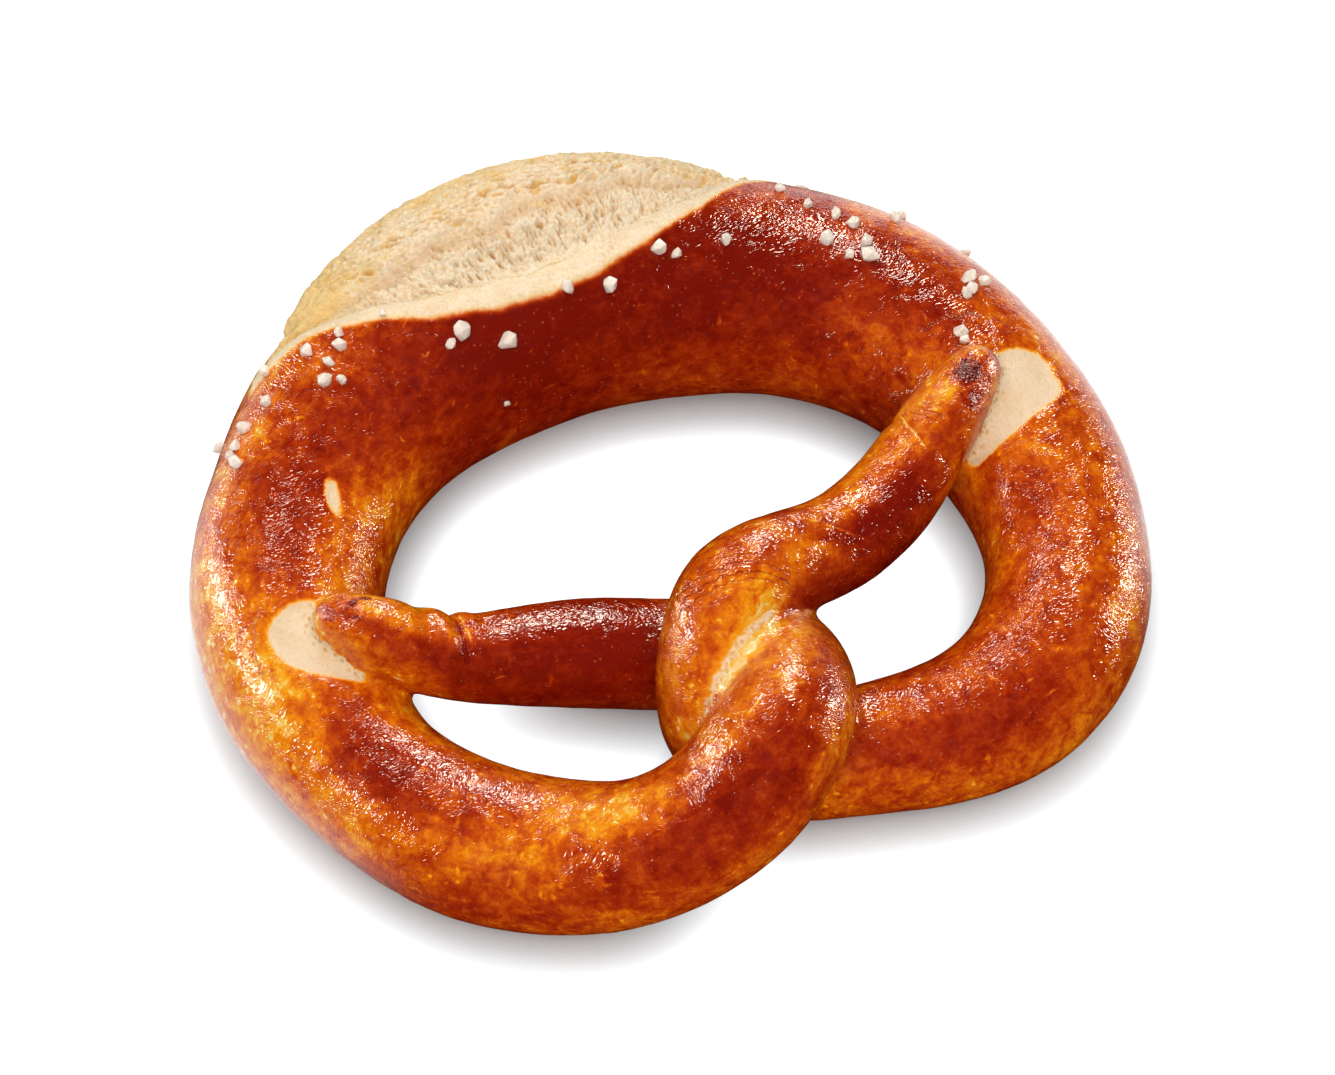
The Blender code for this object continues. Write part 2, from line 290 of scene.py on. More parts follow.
def natural_spline(knots: Array, rows: Array, at: Array) -> Array:
    """Reads a natural cubic spline through rows of values.

    Args:
        knots: the places of the rows.
        rows: one row of values at each knot.
        at: the places to read.

    Returns:
        One row of values for each place.
    """
    gap = np.diff(knots)
    count = len(knots)
    bend = np.eye(count)
    pull = np.zeros((count, rows.shape[1]))
    for i in range(1, count - 1):
        bend[i, i - 1 : i + 2] = gap[i - 1], 2 * (gap[i - 1] + gap[i]), gap[i]
        pull[i] = 6 * ((rows[i + 1] - rows[i]) / gap[i] - (rows[i] - rows[i - 1]) / gap[i - 1])
    second = np.linalg.solve(bend, pull)
    k = np.clip(np.searchsorted(knots, at) - 1, 0, count - 2)
    width = gap[k][:, None]
    past = (at - knots[k])[:, None]
    left = width - past
    cubic = (second[k] * left**3 + second[k + 1] * past**3) / (6 * width)
    low = (rows[k] / width - second[k] * width / 6) * left
    high = (rows[k + 1] / width - second[k + 1] * width / 6) * past
    return cubic + low + high


STATIONS = (
    Section("left_tip", -54.5, -3.0, 23.5, 4.8, 4.8),
    Section("left_knob", -51.0, -6.5, 23.0, 6.0, 6.0),
    Section("left_neck", -43.5, -11.5, 19.0, 6.8, 6.8),
    Section("left_arm_thin", -30.0, -15.5, 14.5, 8.0, 8.0),
    Section("left_arm_thick", -16.0, -19.0, 11.0, 8.8, 8.8),
    Section("under_right_strand", -4.0, -23.0, 8.5, 9.0, 9.0),
    Section("rising", 4.0, -29.0, 12.0, 9.2, 9.2),
    Section("twist_bump", 5.5, -40.5, 20.0, 9.4, 9.4),
    Section("over_right_strand", -3.0, -51.5, 24.0, 11.0, 10.6),
    Section("left_front_down", -12.5, -55.5, 19.0, 11.4, 10.2),
    Section("left_front_slope", -26.5, -55.0, 14.0, 11.6, 10.2),
    Section("left_front", -38.0, -48.5, 9.5, 12.6, 10.8),
    Section("left_near", -50.5, -38.5, 10.0, 12.8, 11.0),
    Section("left_near_knob", -59.0, -23.5, 9.5, 12.6, 10.8),
    Section("left_side", -62.0, -6.5, 11.0, 14.4, 12.2),
    Section("left_side_far", -59.0, 11.5, 12.0, 15.6, 13.2),
    Section("left_shoulder", -49.0, 26.5, 12.5, 16.6, 14.0),
    Section("belly_left", -33.0, 38.5, 15.5, 19.0, 16.4),
    Section("belly_mid_left", -14.0, 44.5, 18.5, 21.8, 19.6),
    Section("belly_middle", 4.0, 44.5, 19.0, 21.8, 20.2),
    Section("belly_right", 21.5, 39.5, 17.0, 20.0, 18.4),
    Section("right_top", 38.0, 31.5, 15.0, 18.2, 16.4),
    Section("right_shoulder", 51.5, 18.5, 14.0, 17.2, 15.2),
    Section("right_side_far", 59.0, 3.0, 12.5, 16.0, 13.8),
    Section("right_side", 61.5, -15.0, 11.5, 14.8, 12.8),
    Section("right_near_knob", 59.0, -31.5, 10.5, 13.6, 11.6),
    Section("right_low", 50.5, -45.5, 10.5, 13.4, 11.6),
    Section("right_front", 36.5, -53.0, 9.5, 12.6, 10.8),
    Section("right_front_thin", 22.0, -53.0, 9.0, 11.4, 10.0),
    Section("right_front_in", 11.0, -50.5, 9.0, 10.4, 9.4),
    Section("under_left_strand", 0.0, -46.5, 9.0, 9.6, 9.0),
    Section("wrap_low", -6.0, -41.5, 12.0, 9.0, 9.0),
    Section("wrap_high", -5.0, -33.0, 21.0, 8.8, 8.8),
    Section("over_left_strand", 3.5, -25.0, 25.0, 9.0, 9.0),
    Section("right_arm_thick", 18.5, -22.0, 22.0, 8.0, 8.0),
    Section("right_arm_thin", 33.0, -17.0, 20.0, 7.8, 7.8),
    Section("right_neck", 42.5, -11.5, 22.0, 7.0, 7.0),
    Section("right_knob", 50.0, -7.0, 25.0, 6.0, 6.0),
    Section("right_tip", 55.5, -4.0, 26.5, 4.4, 4.4),
)


@dataclass
class DoughRope:
    """The rolled rope of dough, as evenly spaced sections along the stations, in mm."""

    stations: Sequence[Section] = STATIONS
    spacing: float = 1.5
    section_points: int = 48
    cap_rings: int = 6
    other_strand: float = 40.0
    at_once: int = 4000
    centre: Array = field(init=False)
    half: Array = field(init=False)
    ahead: Array = field(init=False)
    out: Array = field(init=False)
    up: Array = field(init=False)
    along: Array = field(init=False)

    def __post_init__(self) -> None:
        """Lays the spline through the stations and reads its sections."""
        rows = np.array([(s.x, s.y, s.z, s.half_width, s.half_height) for s in self.stations])
        steps = np.linalg.norm(np.diff(rows[:, :3], axis=0), axis=1)
        knots = np.concatenate(([0.0], np.cumsum(steps)))
        count = int(knots[-1] / self.spacing) + 1
        read = natural_spline(knots, rows, np.linspace(0, knots[-1], count))
        self.centre = read[:, :3]
        self.half = read[:, 3:]
        self.ahead = unit(np.gradient(self.centre, axis=0))
        self.out = unit(np.cross((0.0, 0.0, 1.0), self.ahead))
        self.up = np.cross(self.ahead, self.out)
        steps = np.linalg.norm(np.diff(self.centre, axis=0), axis=1)
        self.along = np.concatenate(([0.0], np.cumsum(steps)))

    def ring(self, i: int, shift: float = 0.0, scale: float = 1.0) -> Array:
        """Points round one section.

        Args:
            i: which section.
            shift: mm that the ring is moved ahead.
            scale: how much of the section's size it has.

        Returns:
            The ring's points in mm.
        """
        turn = np.linspace(0, 2 * math.pi, self.section_points, endpoint=False)[:, None]
        side = self.half[i, 0] * np.sin(turn) * self.out[i]
        rise = self.half[i, 1] * np.cos(turn) * self.up[i]
        return self.centre[i] + shift * self.ahead[i] + scale * (side + rise)

    def tube(self) -> tuple[Array, Faces]:
        """The rope as one closed tube with rounded ends.

        Returns:
            Its points in mm and its faces.
        """
        reach = self.half[[0, -1], 0]
        turns = [math.pi / 2 * k / self.cap_rings for k in range(1, self.cap_rings)]
        rings = [self.ring(0, -reach[0] * math.sin(t), math.cos(t)) for t in reversed(turns)]
        rings += [self.ring(i) for i in range(len(self.along))]
        rings += [self.ring(-1, reach[1] * math.sin(t), math.cos(t)) for t in turns]
        ends = (
            self.centre[0] - reach[0] * self.ahead[0],
            self.centre[-1] + reach[1] * self.ahead[-1],
        )
        points = np.concatenate(rings + [np.array(ends)])
        points[:, 2] = np.maximum(points[:, 2], 0.0)
        return points, tube_faces(len(rings), self.section_points)

    def place(self, along: float, round_deg: float) -> tuple[Array, Array]:
        """A place on the full rope's skin.

        Args:
            along: mm along the rope.
            round_deg: degrees round it.

        Returns:
            The point in mm and the direction that the skin faces there.
        """
        i = int(np.argmin(np.abs(self.along - along)))
        turn = math.radians(round_deg)
        width, height = self.half[i]
        offset = width * math.sin(turn) * self.out[i] + height * math.cos(turn) * self.up[i]
        facing = math.sin(turn) / width * self.out[i] + math.cos(turn) / height * self.up[i]
        return self.centre[i] + offset, facing / np.linalg.norm(facing)

    def places(self, along: Array, round_deg: Array) -> tuple[Array, Array]:
        """Many places on the full rope's skin at once.

        Args:
            along: mm along the rope of each place.
            round_deg: degrees round it of each place.

        Returns:
            The points in mm and the directions that the skin faces there.
        """
        table = np.hstack((self.centre, self.half, self.out, self.up))
        read = np.stack([np.interp(along, self.along, column) for column in table.T], axis=-1)
        centre, half = read[..., :3], read[..., 3:5]
        out, up = read[..., 5:8], read[..., 8:11]
        turn = np.radians(round_deg)[..., None]
        width, height = half[..., :1], half[..., 1:]
        point = centre + width * np.sin(turn) * out + height * np.cos(turn) * up
        facing = np.sin(turn) / width * out + np.cos(turn) / height * up
        return point, facing / np.linalg.norm(facing, axis=-1)[..., None]

    def coordinates(self, points: Array) -> tuple[Array, Array, Array]:
        """Where on the rope each point lies.

        Args:
            points: places on the skin in mm.

        Returns:
            For each point mm along and degrees round the strand whose skin it lies on, and
            roughly how many mm off the nearest other strand's skin it is.
        """
        along = np.empty(len(points))
        round_deg = np.empty(len(points))
        gap = np.empty(len(points))
        for start in range(0, len(points), self.at_once):
            batch = slice(start, start + self.at_once)
            part = points[batch]
            offset = part[:, None] - self.centre[None]
            side = np.einsum("ijk,jk->ij", offset, self.out) / self.half[:, 0]
            rise = np.einsum("ijk,jk->ij", offset, self.up) / self.half[:, 1]
            ahead = np.einsum("ijk,jk->ij", offset, self.ahead)
            reach = side**2 + rise**2 + (ahead / self.half[:, 1]) ** 2
            best = np.argmin(reach, axis=1)
            row = np.arange(len(part))
            along[batch] = self.along[best] + ahead[row, best]
            turn = np.arctan2(side[row, best], rise[row, best])
            round_deg[batch] = np.degrees(turn)
            far = np.abs(self.along[best][:, None] - self.along[None]) > self.other_strand
            other = np.where(far, reach, np.inf)
            nearest = np.argmin(other, axis=1)
            steps = np.sqrt(other[row, nearest]) - np.sqrt(reach[row, best])
            gap[batch] = steps * self.half[nearest, 1]
        return along, round_deg, gap

    def half_height_at(self, along: Array) -> Array:
        """Half height of the section at each place along."""
        return np.interp(along, self.along, self.half[:, 1])


def tube_faces(rings: int, around: int) -> Faces:
    """Faces of a tube of rings that ends in two single points, which come last.

    Args:
        rings: how many rings there are.
        around: how many points each has.

    Returns:
        Quads along the tube and triangles at its two ends.
    """
    faces: Faces = []
    for i in range(rings - 1):
        low = i * around
        for j in range(around):
            k = (j + 1) % around
            faces.append((low + j, low + k, low + around + k, low + around + j))
    first = rings * around
    end = (rings - 1) * around
    for j in range(around):
        k = (j + 1) % around
        faces.append((first, k, j))
        faces.append((first + 1, end + j, end + k))
    return faces


@dataclass
class Burst:
    """The belly's split: the crust's two lips and the crumb's form between them."""

    near_lip: tuple[Pair, ...] = (
        (236, 55), (241, 43), (245, 32), (250, 11), (259, -16), (269, -30), (278, -34),
        (287, -30), (296, -16), (306, 6), (313, 31), (319, 52),
    )
    far_lip: tuple[Pair, ...] = (
        (236, 55), (242, 76), (252, 94), (265, 104), (278, 108), (292, 104), (304, 92),
        (313, 74), (319, 52),
    )
    profile: tuple[Pair, ...] = (
        (0, 0.3), (1, 0.1), (3.5, -1.2), (6, -2.4), (8.5, -2.1), (13, -0.3), (17, 0.5),
        (26, 0.7), (40, 0.3),
    )
    far_dip: float = 0.9
    far_dip_width: float = 2.5
    lip_roll: float = 0.35
    lip_roll_width: float = 1.6
    full_width: float = 24.0
    skin_under_crumb: float = 1.6
    band: float = 3.9
    band_slope: float = 1.8
    turn_over_deg: float = -120.0
    end_fall: float = 2.0

    def lip_degrees(self, lip: tuple[Pair, ...], along: Array) -> Array:
        """Degrees round of a lip at each place along."""
        knots, values = np.array(lip, float).T
        return np.interp(along, knots, values)

    def distances(self, rope: DoughRope, along: Array, round_deg: Array) -> tuple[Array, Array]:
        """How far inside the two lips each place is.

        Args:
            rope: the rope that the burst is in.
            along: mm along the rope of each place.
            round_deg: degrees round it of each place.

        Returns:
            mm in from the near lip and mm in from the far lip.
        """
        turned = np.where(round_deg < self.turn_over_deg, round_deg + 360, round_deg)
        mm_per_degree = math.radians(1) * rope.half_height_at(along)
        from_near = (turned - self.lip_degrees(self.near_lip, along)) * mm_per_degree
        from_far = (self.lip_degrees(self.far_lip, along) - turned) * mm_per_degree
        before = self.near_lip[0][0] - along
        after = along - self.near_lip[-1][0]
        outside = self.end_fall * np.maximum(np.maximum(before, after), 0.0)
        return from_near - outside, from_far - outside

    def crumb_height(self, from_near: Array, from_far: Array) -> Array:
        """Height in mm of the crumb over the full rope.

        Args:
            from_near: mm in from the near lip.
            from_far: mm in from the far lip.

        Returns:
            One height for each place.
        """
        step, height = np.array(self.profile, float).T
        crumb = np.interp(from_near, step, height)
        crumb -= self.far_dip * hump(from_far, 0.0, self.far_dip_width)
        return crumb * smooth_step(0.0, self.full_width, from_near + from_far)

    def skin_height(self, from_near: Array, from_far: Array) -> Array:
        """Height in mm of the skin: the rolled lips, and a bed that passes under the crumb.

        Args:
            from_near: mm in from the near lip.
            from_far: mm in from the far lip.

        Returns:
            One height for each place.
        """
        fullness = smooth_step(0.0, self.full_width, from_near + from_far)
        nearest = np.minimum(from_near, from_far)
        roll = self.lip_roll * fullness * hump(nearest, 0.0, self.lip_roll_width)
        bed = self.skin_under_crumb * smooth_step(self.band, self.band + self.band_slope, nearest)
        return np.where(nearest > 0, self.crumb_height(from_near, from_far) - bed, roll)


def mesh_of(name: str, points_mm: Array, faces: Faces) -> bpy.types.Mesh:
    """A mesh with outward faces.

    Args:
        name: the mesh's name.
        points_mm: its points in mm.
        faces: its faces.

    Returns:
        The mesh, in metres.
    """
    mesh = bpy.data.meshes.new(name)
    mesh.from_pydata((points_mm * MM).tolist(), [], faces)
    bm = bmesh.new()
    bm.from_mesh(mesh)
    bmesh.ops.recalc_face_normals(bm, faces=bm.faces)
    bm.to_mesh(mesh)
    bm.free()
    return mesh


def bake_modifiers(piece: bpy.types.Object) -> None:
    """Replaces the piece's mesh by the one that its modifiers make.

    Args:
        piece: the piece, which has no modifiers left afterwards.
    """
    depsgraph = bpy.context.evaluated_depsgraph_get()
    made = bpy.data.meshes.new_from_object(piece.evaluated_get(depsgraph))
    old = piece.data
    piece.modifiers.clear()
    piece.data = made
    bpy.data.meshes.remove(old)


def read_rows(owner: Sequence, name: str) -> Array:
    """Rows of a vector of each item of a mesh.

    Args:
        owner: the items, such as the mesh's vertices.
        name: what the vector is called there.

    Returns:
        One row of three for each item.
    """
    values = np.empty(3 * len(owner))
    owner.foreach_get(name, values)
    return values.reshape(-1, 3)


def remember(mesh: bpy.types.Mesh, mark: Mark, values: Array) -> None:
    """Stores a number or a vector at each point for the finish to read.

    Args:
        mesh: the mesh that keeps the values.
        mark: what they mean.
        values: one number, or one row of three, for each point.
    """
    if values.ndim == 1:
        kept = mesh.attributes.new(mark.value, "FLOAT", "POINT")
        kept.data.foreach_set("value", values.astype(np.float32))
    else:
        kept = mesh.attributes.new(mark.value, "FLOAT_VECTOR", "POINT")
        kept.data.foreach_set("vector", values.astype(np.float32).ravel())


@dataclass
class BakedSkin:
    """The pretzel's crust: the rope fused with itself, with its relief and its browning."""

    rope: DoughRope
    burst: Burst
    voxel: float = 0.7
    softening: int = 20
    flat_band: float = 0.45
    lump_height: float = 0.35
    lump_length: float = 17.0
    ripple_height: float = 0.08
    ripple_length: float = 4.2
    ripple_in_dough: float = 0.35
    patch_edge: Pair = (-0.6, 1.0)
    torn_limit: float = 4.0
    patches: tuple[TornPatch, ...] = (
        TornPatch(
            "beside_left_knob",
            (
                (199.5, -20), (199.5, -4), (198, 8), (196, 17), (193, 17), (190.5, 13),
                (188.5, 5), (186.5, -7), (184, -22), (182, -38), (181, -60), (196, -60),
            ),
            0.8,
        ),
        TornPatch(
            "beside_right_knob",
            (
                (361, -20), (362, 2), (363, 15), (365, 25), (367, 29), (369.5, 26), (371.5, 29),
                (373, 18), (374, 2), (375.5, -16), (376.5, -36), (377, -52), (374, -62),
                (366, -55),
            ),
            0.8,
        ),
        TornPatch(
            "shoulder_scar",
            (
                (217.4, -31.5), (218.6, -26), (221, -21), (223.6, -18), (225.4, -19),
                (225.0, -23), (222.4, -27.5), (219.6, -31),
            ),
            0.7,
        ),
    )
    folds: tuple[Fold, ...] = (
        Fold(11.6, -0.03, 1.4, -0.35),
        Fold(15.0, -0.03, 1.6, 0.4),
        Fold(18.2, -0.02, 0.8, -0.9),
        Fold(20.6, -0.02, 1.2, 0.35),
        Fold(539.5, 0.01, 0.8, -0.45),
    )
    spots: tuple[BrownSpot, ...] = (
        BrownSpot("left_tip", 3, -60, 0.2),
        BrownSpot("left_tip_gold", 4, 40, 0.2),
        BrownSpot("left_neck_gold", 16, 20, 0.3),
        BrownSpot("left_neck_dark", 14, -50, 0.9),
        BrownSpot("left_arm_near", 32, -60, 0.9),
        BrownSpot("left_arm_top", 32, 10, 0.9),
        BrownSpot("left_arm_far", 32, 90, 0.6),
        BrownSpot("left_arm_under", 32, -130, 0.7),
        BrownSpot("left_arm_root", 50, -30, 1.0),
        BrownSpot("bump_gold", 82, -10, 0.3),
        BrownSpot("bump_far", 84, 60, 0.4),
        BrownSpot("bump_near", 93, -40, 0.3),
        BrownSpot("wrap_dark", 106, 20, 0.8),
        BrownSpot("wrap_dark_end", 120, 40, 0.8),
        BrownSpot("wrap_edge", 120, 85, 0.5),
        BrownSpot("wrap_inner", 106, -45, 0.5),
        BrownSpot("front_gold", 128, -5, 0.2),
        BrownSpot("front_red", 133, 30, 0.5),
        BrownSpot("front_streak", 146, 20, 0.3),
        BrownSpot("front_inner", 150, -40, 0.4),
        BrownSpot("front_brown", 156, -5, 0.7),
        BrownSpot("front_low", 150, 70, 0.6),
        BrownSpot("left_loop_brown", 172, 5, 0.8),
        BrownSpot("left_loop_inner", 172, -35, 0.4),
        BrownSpot("left_loop_outer", 170, 60, 0.3),
        BrownSpot("gold_by_patch", 186, 30, 0.1),
        BrownSpot("gold_beyond", 200, 28, 0.1),
        BrownSpot("left_edge", 198, 60, 0.2),
        BrownSpot("left_middle", 207, 20, 0.7),
        BrownSpot("left_inner", 208, -45, 0.4),
        BrownSpot("shoulder_edge", 216, 48, 0.3),
        BrownSpot("shoulder_brown", 222, 5, 0.8),
        BrownSpot("shoulder_inner", 226, -60, 0.3),
        BrownSpot("shoulder_gold", 236, 32, 0.3),
        BrownSpot("burst_start", 241, 5, 0.6),
        BrownSpot("belly_left", 245, -25, 0.8),
        BrownSpot("belly_left_low", 250, -70, 0.7),
        BrownSpot("belly_dark", 270, -50, 1.0),
        BrownSpot("belly_low", 285, -80, 0.8),
        BrownSpot("belly_right", 300, -50, 0.9),
        BrownSpot("belly_right_low", 300, -95, 0.6),
        BrownSpot("beside_burst", 318, -20, 1.0),
        BrownSpot("beside_burst_top", 322, 20, 0.6),
        BrownSpot("right_belly", 322, -50, 0.8),
        BrownSpot("right_belly_low", 320, -85, 0.6),
        BrownSpot("right_edge_gold", 338, 45, 0.3),
        BrownSpot("right_shoulder_brown", 344, -5, 0.9),
        BrownSpot("right_shoulder_streaks", 344, -35, 0.5),
        BrownSpot("right_shoulder_low", 350, -75, 0.7),
        BrownSpot("right_shoulder_top", 352, 25, 0.5),
        BrownSpot("gold_beyond_knob", 364, 50, 0.3),
        BrownSpot("before_patch", 360, -20, 0.5),
        BrownSpot("after_patch", 379, 0, 0.4),
        BrownSpot("after_patch_edge", 378, 45, 0.5),
        BrownSpot("after_patch_inner", 380, -80, 0.5),
        BrownSpot("right_side_red", 392, -30, 0.6),
        BrownSpot("right_side", 396, 10, 0.5),
        BrownSpot("right_side_inner", 396, -60, 0.5),
        BrownSpot("right_side_edge", 404, 45, 0.4),
        BrownSpot("right_low_inner", 414, -20, 0.5),
        BrownSpot("right_low", 416, 15, 0.6),
        BrownSpot("right_low_edge", 420, 70, 0.4),
        BrownSpot("right_front_brown", 432, 30, 0.8),
        BrownSpot("right_front_inner", 436, -25, 0.6),
        BrownSpot("right_front", 446, 0, 0.5),
        BrownSpot("right_front_low", 450, 60, 0.5),
        BrownSpot("under_wrap", 456, 20, 0.8),
        BrownSpot("wrap_gold", 480, 40, 0.3),
        BrownSpot("wrap_rising", 480, 0, 0.4),
        BrownSpot("seam_gold", 488, -40, 0.2),
        BrownSpot("wrap_top", 492, 5, 0.5),
        BrownSpot("wrap_far", 490, 55, 0.4),
        BrownSpot("right_arm_gold", 502, -40, 0.3),
        BrownSpot("right_arm_top", 506, 10, 0.5),
        BrownSpot("right_arm_near", 514, -75, 0.8),
        BrownSpot("right_arm_dark", 524, -35, 1.0),
        BrownSpot("right_arm", 522, 15, 0.4),
        BrownSpot("right_arm_far", 530, 40, 0.3),
        BrownSpot("right_neck_brown", 542, -50, 0.6),
        BrownSpot("right_neck_gold", 542, 10, 0.3),
        BrownSpot("right_tip_near", 550, -70, 0.4),
        BrownSpot("right_tip", 552, 20, 0.3),
    )
    spot_reach: Pair = (8.0, 16.0)
    plain_browning: float = 0.6
    plain_weight: float = 0.05
    shelter: float = 0.14
    shelter_reach: float = 3.0
    twist_seam: SeamLine = SeamLine(
        (
            (494, -60), (491.5, -51), (489, -39), (487, -29), (485, -21), (483.2, -12),
            (481, -1), (479, 10),
        ),
        0.5,
    )
    seam_edge: float = 0.6
    seam_height: float = 0.25
    seam_grain: float = 0.9
    joins: tuple[Join, ...] = (
        Join(487.0, -32.0, 11.0, 52.0),
        Join(89.0, -42.0, 12.0, 55.0),
    )
    join_reach: Pair = (3.52, 1.32)
    join_times: int = 40
    join_golden: float = 0.16
    burns: tuple[BurntMark, ...] = (
        BurntMark(0.9, 14, 0.9, 18, 0.7), BurntMark(2.4, -14, 0.9, 8, 0.7),
        BurntMark(2.2, 34, 1.0, 8, 0.7), BurntMark(6.7, -34, 2.0, 13, 0.4),
        BurntMark(553.2, -8, 3.2, 38, 0.9), BurntMark(550.0, -44, 2.8, 24, 0.6),
    )
    scab_dent: float = 0.5
    scab_relief: float = 0.5
    scab_grain: float = 1.7
    facing_down: float = -0.3

    def build(self) -> bpy.types.Object:
        """Makes the crust as a piece of its own.

        Returns:
            The piece, with what its finish needs remembered at each point.
        """
        points, faces = self.rope.tube()
        piece = bpy.data.objects.new("baked_crust", mesh_of("baked_crust", points, faces))
        bpy.context.scene.collection.objects.link(piece)
        remesh = piece.modifiers.new("fuse", "REMESH")
        remesh.mode = "VOXEL"
        remesh.voxel_size = self.voxel * MM
        soften = piece.modifiers.new("soften", "SMOOTH")
        soften.factor = 0.5
        soften.iterations = self.softening
        bake_modifiers(piece)
        self.shape(piece.data)
        piece.data.shade_smooth()
        return piece

    def dress(self, piece: bpy.types.Object) -> None:
        """Gives the crust its finish and its place in the frame."""
        settle(piece, CrustFinish().material())

    def shape(self, mesh: bpy.types.Mesh) -> None:
        """Raises the relief, beds the underside flat and remembers what the finish needs.

        Args:
            mesh: the fused skin, still even.
        """
        points = read_rows(mesh.vertices, "co") / MM
        normals = read_rows(mesh.vertex_normals, "vector")
        along, round_deg, gap = self.rope.coordinates(points)
        from_near, from_far = self.burst.distances(self.rope, along, round_deg)
        height = self.burst.skin_height(from_near, from_far)
        scale = math.radians(1) * self.rope.half_height_at(along)
        torn = np.full(len(points), -self.torn_limit)
        for patch in self.patches:
            inside = patch.inside_mm(along, round_deg, scale)
            height -= patch.depth * smooth_step(*self.patch_edge, inside)
            torn = np.maximum(torn, inside)
        torn = self.even_out(mesh, np.minimum(torn, self.torn_limit), 4)
        for fold in self.folds:
            height += fold.relief(along, round_deg)
        height = self.even_out(mesh, height)
        height += self.lump_height * uneven(points, self.lump_length)
        height += self.ripples(points, torn, from_near)
        seam = self.twist_seam.distance(along, round_deg, scale)
        in_seam = smooth_step(self.seam_edge, -self.seam_edge, seam)
        height += self.seam_height * in_seam * uneven(points, self.seam_grain, 2, 9.0)
        burnt = self.burnt(along, round_deg)
        scab = self.scab_relief * uneven(points, self.scab_grain, 2, 15.0) - self.scab_dent
        height += burnt * scab
        points = points + normals * height[:, None]
        joined = np.max([join.strength(along, round_deg) for join in self.joins], axis=0)
        joined *= smooth_step(*self.join_reach, gap)
        for _ in range(self.join_times):
            drawn = np.stack([self.even_out(mesh, axis, 1) for axis in points.T], axis=1)
            points += (drawn - points) * joined[:, None]
        bedded = (points[:, 2] < self.flat_band) & (normals[:, 2] < self.facing_down)
        points[:, 2] = np.where(bedded, 0.0, np.maximum(points[:, 2], 0.0))
        mesh.vertices.foreach_set("co", (points * MM).ravel())
        mesh.update()
        flow = np.stack((along, round_deg * scale, gap), axis=1)
        browning = self.browning(along, round_deg, gap) - self.join_golden * joined
        remember(mesh, Mark.BROWNING, browning)
        remember(mesh, Mark.LIP, np.minimum(from_near, from_far))
        remember(mesh, Mark.TORN, torn)
        remember(mesh, Mark.SEAM, seam)
        remember(mesh, Mark.BURNT, burnt)
        remember(mesh, Mark.FLOW, flow)

    def even_out(self, mesh: bpy.types.Mesh, height: Array, times: int = 2) -> Array:
        """Draws each value towards its neighbours so that none jumps where strands meet.

        Args:
            mesh: the skin whose edges say what is near what.
            height: one value for each point.
            times: how often it is done.

        Returns:
            The evened values.
        """
        edges = np.empty(2 * len(mesh.edges), int)
        mesh.edges.foreach_get("vertices", edges)
        first, second = edges.reshape(-1, 2).T
        count = np.bincount(edges, minlength=len(height))
        for _ in range(times):
            pull = np.bincount(first, height[second], len(height))
            pull += np.bincount(second, height[first], len(height))
            height = 0.5 * height + 0.5 * pull / count
        return height

    def ripples(self, points: Array, torn: Array, from_near: Array) -> Array:
        """The crust's small waves, calmer in bare dough.

        Args:
            points: the skin's points in mm.
            torn: mm inside the torn patches.
            from_near: mm in from the burst's near lip.

        Returns:
            One height in mm for each point.
        """
        waves = uneven(points, self.ripple_length, 2, 3.0)
        dough = np.maximum(torn, -np.abs(from_near - 2))
        strength = smooth_step(0.5, -1.0, dough)
        strength = self.ripple_in_dough + (1.0 - self.ripple_in_dough) * strength
        return self.ripple_height * waves * strength

    def browning(self, along: Array, round_deg: Array, gap: Array) -> Array:
        """How brown the crust baked, from the spots about each point.

        Args:
            along: mm along the rope of each point.
            round_deg: degrees round it of each point.
            gap: mm off the other strand of each point.

        Returns:
            One value from 0, bare, to 1, burnt, for each point.
        """
        total = np.full(len(along), self.plain_weight)
        weighed = np.full(len(along), self.plain_weight * self.plain_browning)
        for spot in self.spots:
            far = ((along - spot.along) / self.spot_reach[0]) ** 2
            far += ((round_deg - spot.round_deg) / self.spot_reach[1]) ** 2
            weight = np.exp(-0.5 * far)
            total += weight
            weighed += weight * spot.browning
        sheltered = self.shelter * np.exp(-np.maximum(gap, 0.0) / self.shelter_reach)
        return weighed / total - sheltered

    def burnt(self, along: Array, round_deg: Array) -> Array:
        """How far the tips' ends are burnt, 0 to 1, at each place along and round."""
        return np.max([mark.strength(along, round_deg) for mark in self.burns], axis=0)


